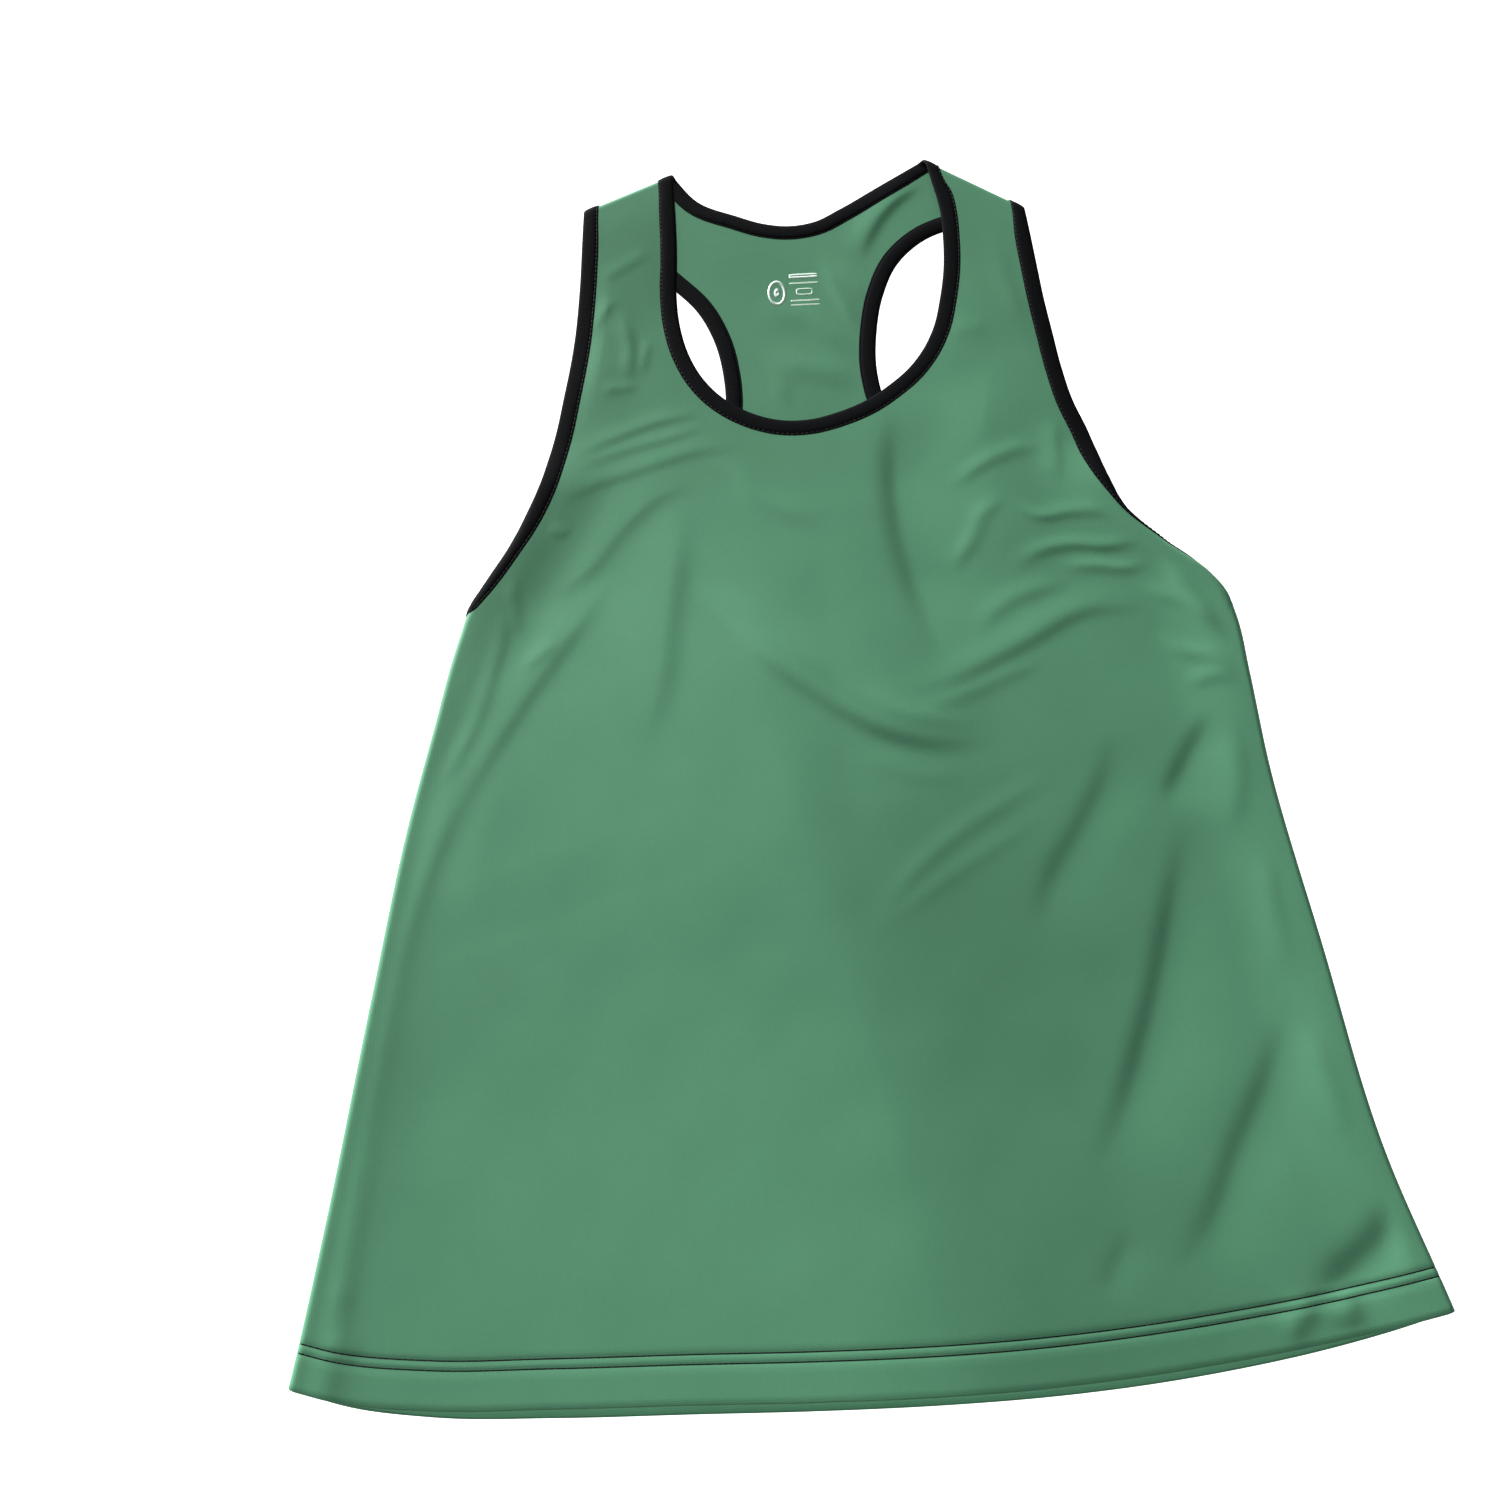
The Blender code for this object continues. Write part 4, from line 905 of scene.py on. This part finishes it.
def armhole_frame(panel, edge):
    """Raw edge, way inwards and mitre of an armhole, from the side seam to the shoulder."""
    runs = edge_runs(panel)[edge]
    first, last = runs[0], runs[-1]
    runs = np.linspace(first, last, round(abs(last - first) / TAPE_STEP) + 1)
    raw, inward = edge_frame(panel[edge], runs)
    column, low = UNDERARMS[edge]
    corner = seam_point(low, column, panel)
    down = unit(seam_point(low - TAPE_WIDTH, column, panel) - corner)
    fan = [(corner * (1 - g) + raw[0] * g, unit(down * (1 - g) + inward[0] * g))
           for g in TAPE_FAN]
    mitre = np.ones(len(raw) + len(fan))
    mitre[:len(fan)] = [1 / max(way @ inward[0], 0.5) for _, way in fan]
    raw = np.concatenate([[place for place, _ in fan], raw])
    inward = np.concatenate([[way for _, way in fan], inward])
    return raw, inward, mitre


for side in ("left", "right"):
    sections = [tape_sections(panel, *armhole_frame(panel, f"arm_{side}"))
                for panel in (FRONT, BACK)]
    points, flat, faces = weave_tape(np.concatenate([sections[0], sections[1][-2::-1]]), False)
    if side == "left":
        faces = [face[::-1] for face in faces]
    make_piece(f"armhole_tape_{side}", points, flat, faces, ribbed)
    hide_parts(f"armhole_binding_{side}")

# ------------------------------------------------------------------------------ stitching
# Black polyester sewing thread: two even rows of a twin-needle machine hold each hem, and one
# row holds the tape's edge. Each stitch dips into the cloth at both ends.
THREAD = 0.34                  # radius, a little full so that it shows
HEM_STITCH = (3.0, 3.0)        # from one stitch to the next, and its visible length
TAPE_STITCH = (2.8, 2.2)
STITCH_SHAPE = [(0.0, -0.25), (0.08, 0.02), (0.5, 0.12), (0.92, 0.02), (1.0, -0.25)]
THREAD_SIDES = 6

# Spun polyester thread: near black, slightly glossy along its twist.
thread, thread_tree, thread_shader = new_material("spun polyester thread, black", {
    "Base Color": linear("#060607"), "Roughness": 0.6, "Specular IOR Level": 0.1})
twist = node(thread_tree, "ShaderNodeTexWave", {
    "Vector": node(thread_tree, "ShaderNodeTexCoord").outputs["Object"],
    "Scale": 1800.0, "Distortion": 1.0}, bands_direction="DIAGONAL")
twist_bump = node(thread_tree, "ShaderNodeBump", {
    "Height": twist.outputs[1], "Strength": 0.4, "Distance": 0.05 * MM})
thread_tree.links.new(twist_bump.outputs[0], thread_shader.inputs["Normal"])


def sew(name, rows):
    """One mesh of stitches. Each row gives a panel, flat points, a lift and a stitch size."""
    points, faces = [], []
    for panel, line, lift, (pitch, length) in rows:
        line = np.asarray(line, float)
        table = np.column_stack([lengths(line), line])
        starts = np.arange(pitch / 2, table[-1, 0] - length, pitch)
        shape = np.array(STITCH_SHAPE)
        at = starts[:, None] + shape[None, :, 0] * length
        flat = np.stack([np.interp(at, table[:, 0], table[:, k]) for k in (1, 2)], axis=-1)
        height = np.broadcast_to(shape[None, :, 1] + lift, at.shape)
        spine = lay_lifted(flat, panel, height)
        above = unit(lay_lifted(flat, panel, height + 0.5) - spine)
        along = unit(np.gradient(spine, axis=1))
        across = unit(np.cross(along, above))
        above = np.cross(across, along)
        ring = 2 * math.pi * np.arange(THREAD_SIDES) / THREAD_SIDES
        tube = spine[:, :, None] + THREAD * (
            across[:, :, None] * np.cos(ring)[:, None] + above[:, :, None] * np.sin(ring)[:, None])
        sides, last = THREAD_SIDES, (len(shape) - 1) * THREAD_SIDES
        one = [(n + k, n + (k + 1) % sides, n + sides + (k + 1) % sides, n + sides + k)
               for n in range(0, last, sides) for k in range(sides)]
        one += [tuple(range(sides))[::-1], tuple(range(last, last + sides))]
        for stitch in tube:
            faces += [tuple(len(points) + corner for corner in face) for face in one]
            points += list(stitch.reshape(-1, 3))
    return make_piece(name, points, None, faces, thread)


def hem_rows(panel, lift):
    """The two stitch rows of a hem, from seam to seam."""
    rows = []
    for above in TWIN_NEEDLES:
        ends = [seam_point(hem_height(side_rows(HEM_DEPTH)[column], panel["rise"]) + above,
                           column, panel)[0] for column in (0, 1)]
        x = np.linspace(ends[0] + 1.5, ends[1] - 1.5, 220)
        line = np.column_stack([x, hem_height(x, panel["rise"]) + above])
        rows.append((panel, line, lift, HEM_STITCH))
    return rows


front_hem_thread = sew("front_hem_stitches", hem_rows(FRONT, 0.2))
back_hem_thread = sew("back_hem_stitches", hem_rows(BACK, -0.05))
tape_lift = TUCK / 2 + TAPE - 0.05
neck_rows = []
for panel in (FRONT, BACK):
    raw, inward = edge_frame(panel["neck"], neck_runs(panel))
    neck_rows.append((panel, raw + EDGE_STITCH * inward, tape_lift, TAPE_STITCH))
neck_thread = sew("neck_stitches", neck_rows)
for side in ("left", "right"):
    arm_rows = []
    for panel in (FRONT, BACK):
        raw, inward, _ = armhole_frame(panel, f"arm_{side}")
        arm_rows.append((panel, (raw + EDGE_STITCH * inward)[4:], tape_lift, TAPE_STITCH))
    sew(f"armhole_stitches_{side}", arm_rows)

# ---------------------------------------------------------------------- print in the neck
# A small heat-transfer print lies inside the back, below the neck tape: thin matt ink, here
# a plain ring with a dot, a few bars and an empty pill.
PRINT_LIFT = -(CLOTH + 0.12)
INK = 0.04
RING_CENTRE, RING_SIZE = (-7.2, 605.5), (5.6, 8.6)
RING_LINE = 2.0
BARS = [(9.0, 616.4, 17.0, 3.4), (9.0, 611.6, 17.0, 1.1), (9.0, 599.6, 17.0, 1.1),
        (9.0, 596.6, 17.0, 0.9)]       # middle, width and height of each bar
PILL = ((9.0, 605.6), (5.0, 2.4), 0.9)
# Heat-transfer ink: a thin pale film, a little smoother than the cloth round it.
ink = new_material("heat-transfer ink, pale grey", {
    "Base Color": linear("#a9bdb0"), "Roughness": 0.5})[0]


def band(outer, inner):
    """Flat points and faces between two closed outlines of equal count."""
    count = len(outer)
    points = np.concatenate([outer, inner])
    faces = [(n, (n + 1) % count, count + (n + 1) % count, count + n) for n in range(count)]
    return points, faces


def oval(centre, size, power=1.0, count=48):
    turn = np.linspace(0, 2 * math.pi, count, endpoint=False)
    x = np.sign(np.cos(turn)) * abs(np.cos(turn)) ** power
    y = np.sign(np.sin(turn)) * abs(np.sin(turn)) ** power
    return np.array(centre) + np.column_stack([x * size[0], y * size[1]])


RING_INNER = (RING_SIZE[0] - RING_LINE, RING_SIZE[1] - RING_LINE)
shapes = [band(oval(RING_CENTRE, RING_SIZE), oval(RING_CENTRE, RING_INNER)),
          band(oval(RING_CENTRE, (1.8, 3.2)), oval(RING_CENTRE, (0.1, 0.1)))]
for x, y, width, height in BARS:
    shapes.append(band(oval((x, y), (width / 2, height / 2), 0.3),
                       oval((x, y), (width / 2 - 0.5, 0.02), 0.3)))
centre, size, line = PILL
shapes.append(band(oval(centre, size, 0.5), oval(centre, (size[0] - line, size[1] - line), 0.5)))
print_points, print_faces = [], []
for flat, faces in shapes:
    print_faces += [tuple(len(print_points) + n for n in face) for face in faces]
    print_points += list(flat)
placed = lay_lifted(np.array(print_points), BACK, np.full(len(print_points), PRINT_LIFT))
neck_print = make_piece("neck_print", placed, np.array(print_points), print_faces, ink)
thicken(neck_print, INK)

# -------------------------------------------------------------------- table, light, camera
# The top lies on a sheet of white acrylic that is lit from below, so that hardly any shadow
# shows on it. One wide lamp stands low to the upper left, one hangs above, the room is pale.
TABLE_SIZE = 6.0
# White acrylic glowing from below: pure white, with no shadow or reflection to see.
acrylic = new_material("white acrylic, lit from below", {
    "Base Color": linear("#f4f4f4"), "Roughness": 0.6, "Emission Color": (1, 1, 1, 1),
    "Emission Strength": 0.75})[0]
table_mesh = bpy.data.meshes.new("table_top")
half = TABLE_SIZE / 2
table_mesh.from_pydata([(-half, -half, 0), (half, -half, 0), (half, half, 0), (-half, half, 0)],
                       [], [(0, 1, 2, 3)])
table_mesh.materials.append(acrylic)
table_top = put("table_top", table_mesh)
table_top.location.z = -0.0002

SUN_FROM = (-0.62, 0.78)       # direction the light comes from, across the table
LAMPS = [
    ("key", math.radians(9), 12.3, math.radians(14)),     # height, strength, apparent size
    ("ceiling", math.radians(80), 0.68, math.radians(60)),
]
for name, height, energy, size in LAMPS:
    lamp_data = bpy.data.lights.new(name, "SUN")
    lamp_data.energy = energy
    lamp_data.angle = size
    lamp_data.use_shadow = False       # so wide and near that no edge throws a shadow
    lamp = put(name, lamp_data)
    way = Vector((*unit(np.array(SUN_FROM)) * math.cos(height), math.sin(height)))
    lamp.rotation_mode = "QUATERNION"
    lamp.rotation_quaternion = way.to_track_quat("Z", "Y")
world = bpy.data.worlds.new("pale room")
world.use_nodes = True
world.node_tree.nodes["Background"].inputs[0].default_value = (1, 1, 1, 1)
world.node_tree.nodes["Background"].inputs[1].default_value = 0.18
bpy.context.scene.world = world
bpy.context.scene.view_settings.view_transform = "Standard"

CAMERA_AT = (-0.0531, -0.2698, 0.7561)
CAMERA_AIM = (-0.0377, -0.0246, 0.0)
CAMERA_TURN = (0.998, -0.0628, 0.0)    # the picture's right-hand direction
camera_data = bpy.data.cameras.new("camera")
camera_data.lens = 35.71
camera_data.sensor_width = 36
camera = put("camera", camera_data)
camera.location = CAMERA_AT
back_way = (Vector(CAMERA_AT) - Vector(CAMERA_AIM)).normalized()
right_way = Vector(CAMERA_TURN)
right_way = (right_way - back_way * right_way.dot(back_way)).normalized()
up_way = back_way.cross(right_way)
camera.rotation_mode = "QUATERNION"
camera.rotation_quaternion = Matrix((right_way, up_way, back_way)).transposed().to_quaternion()
bpy.context.scene.camera = camera
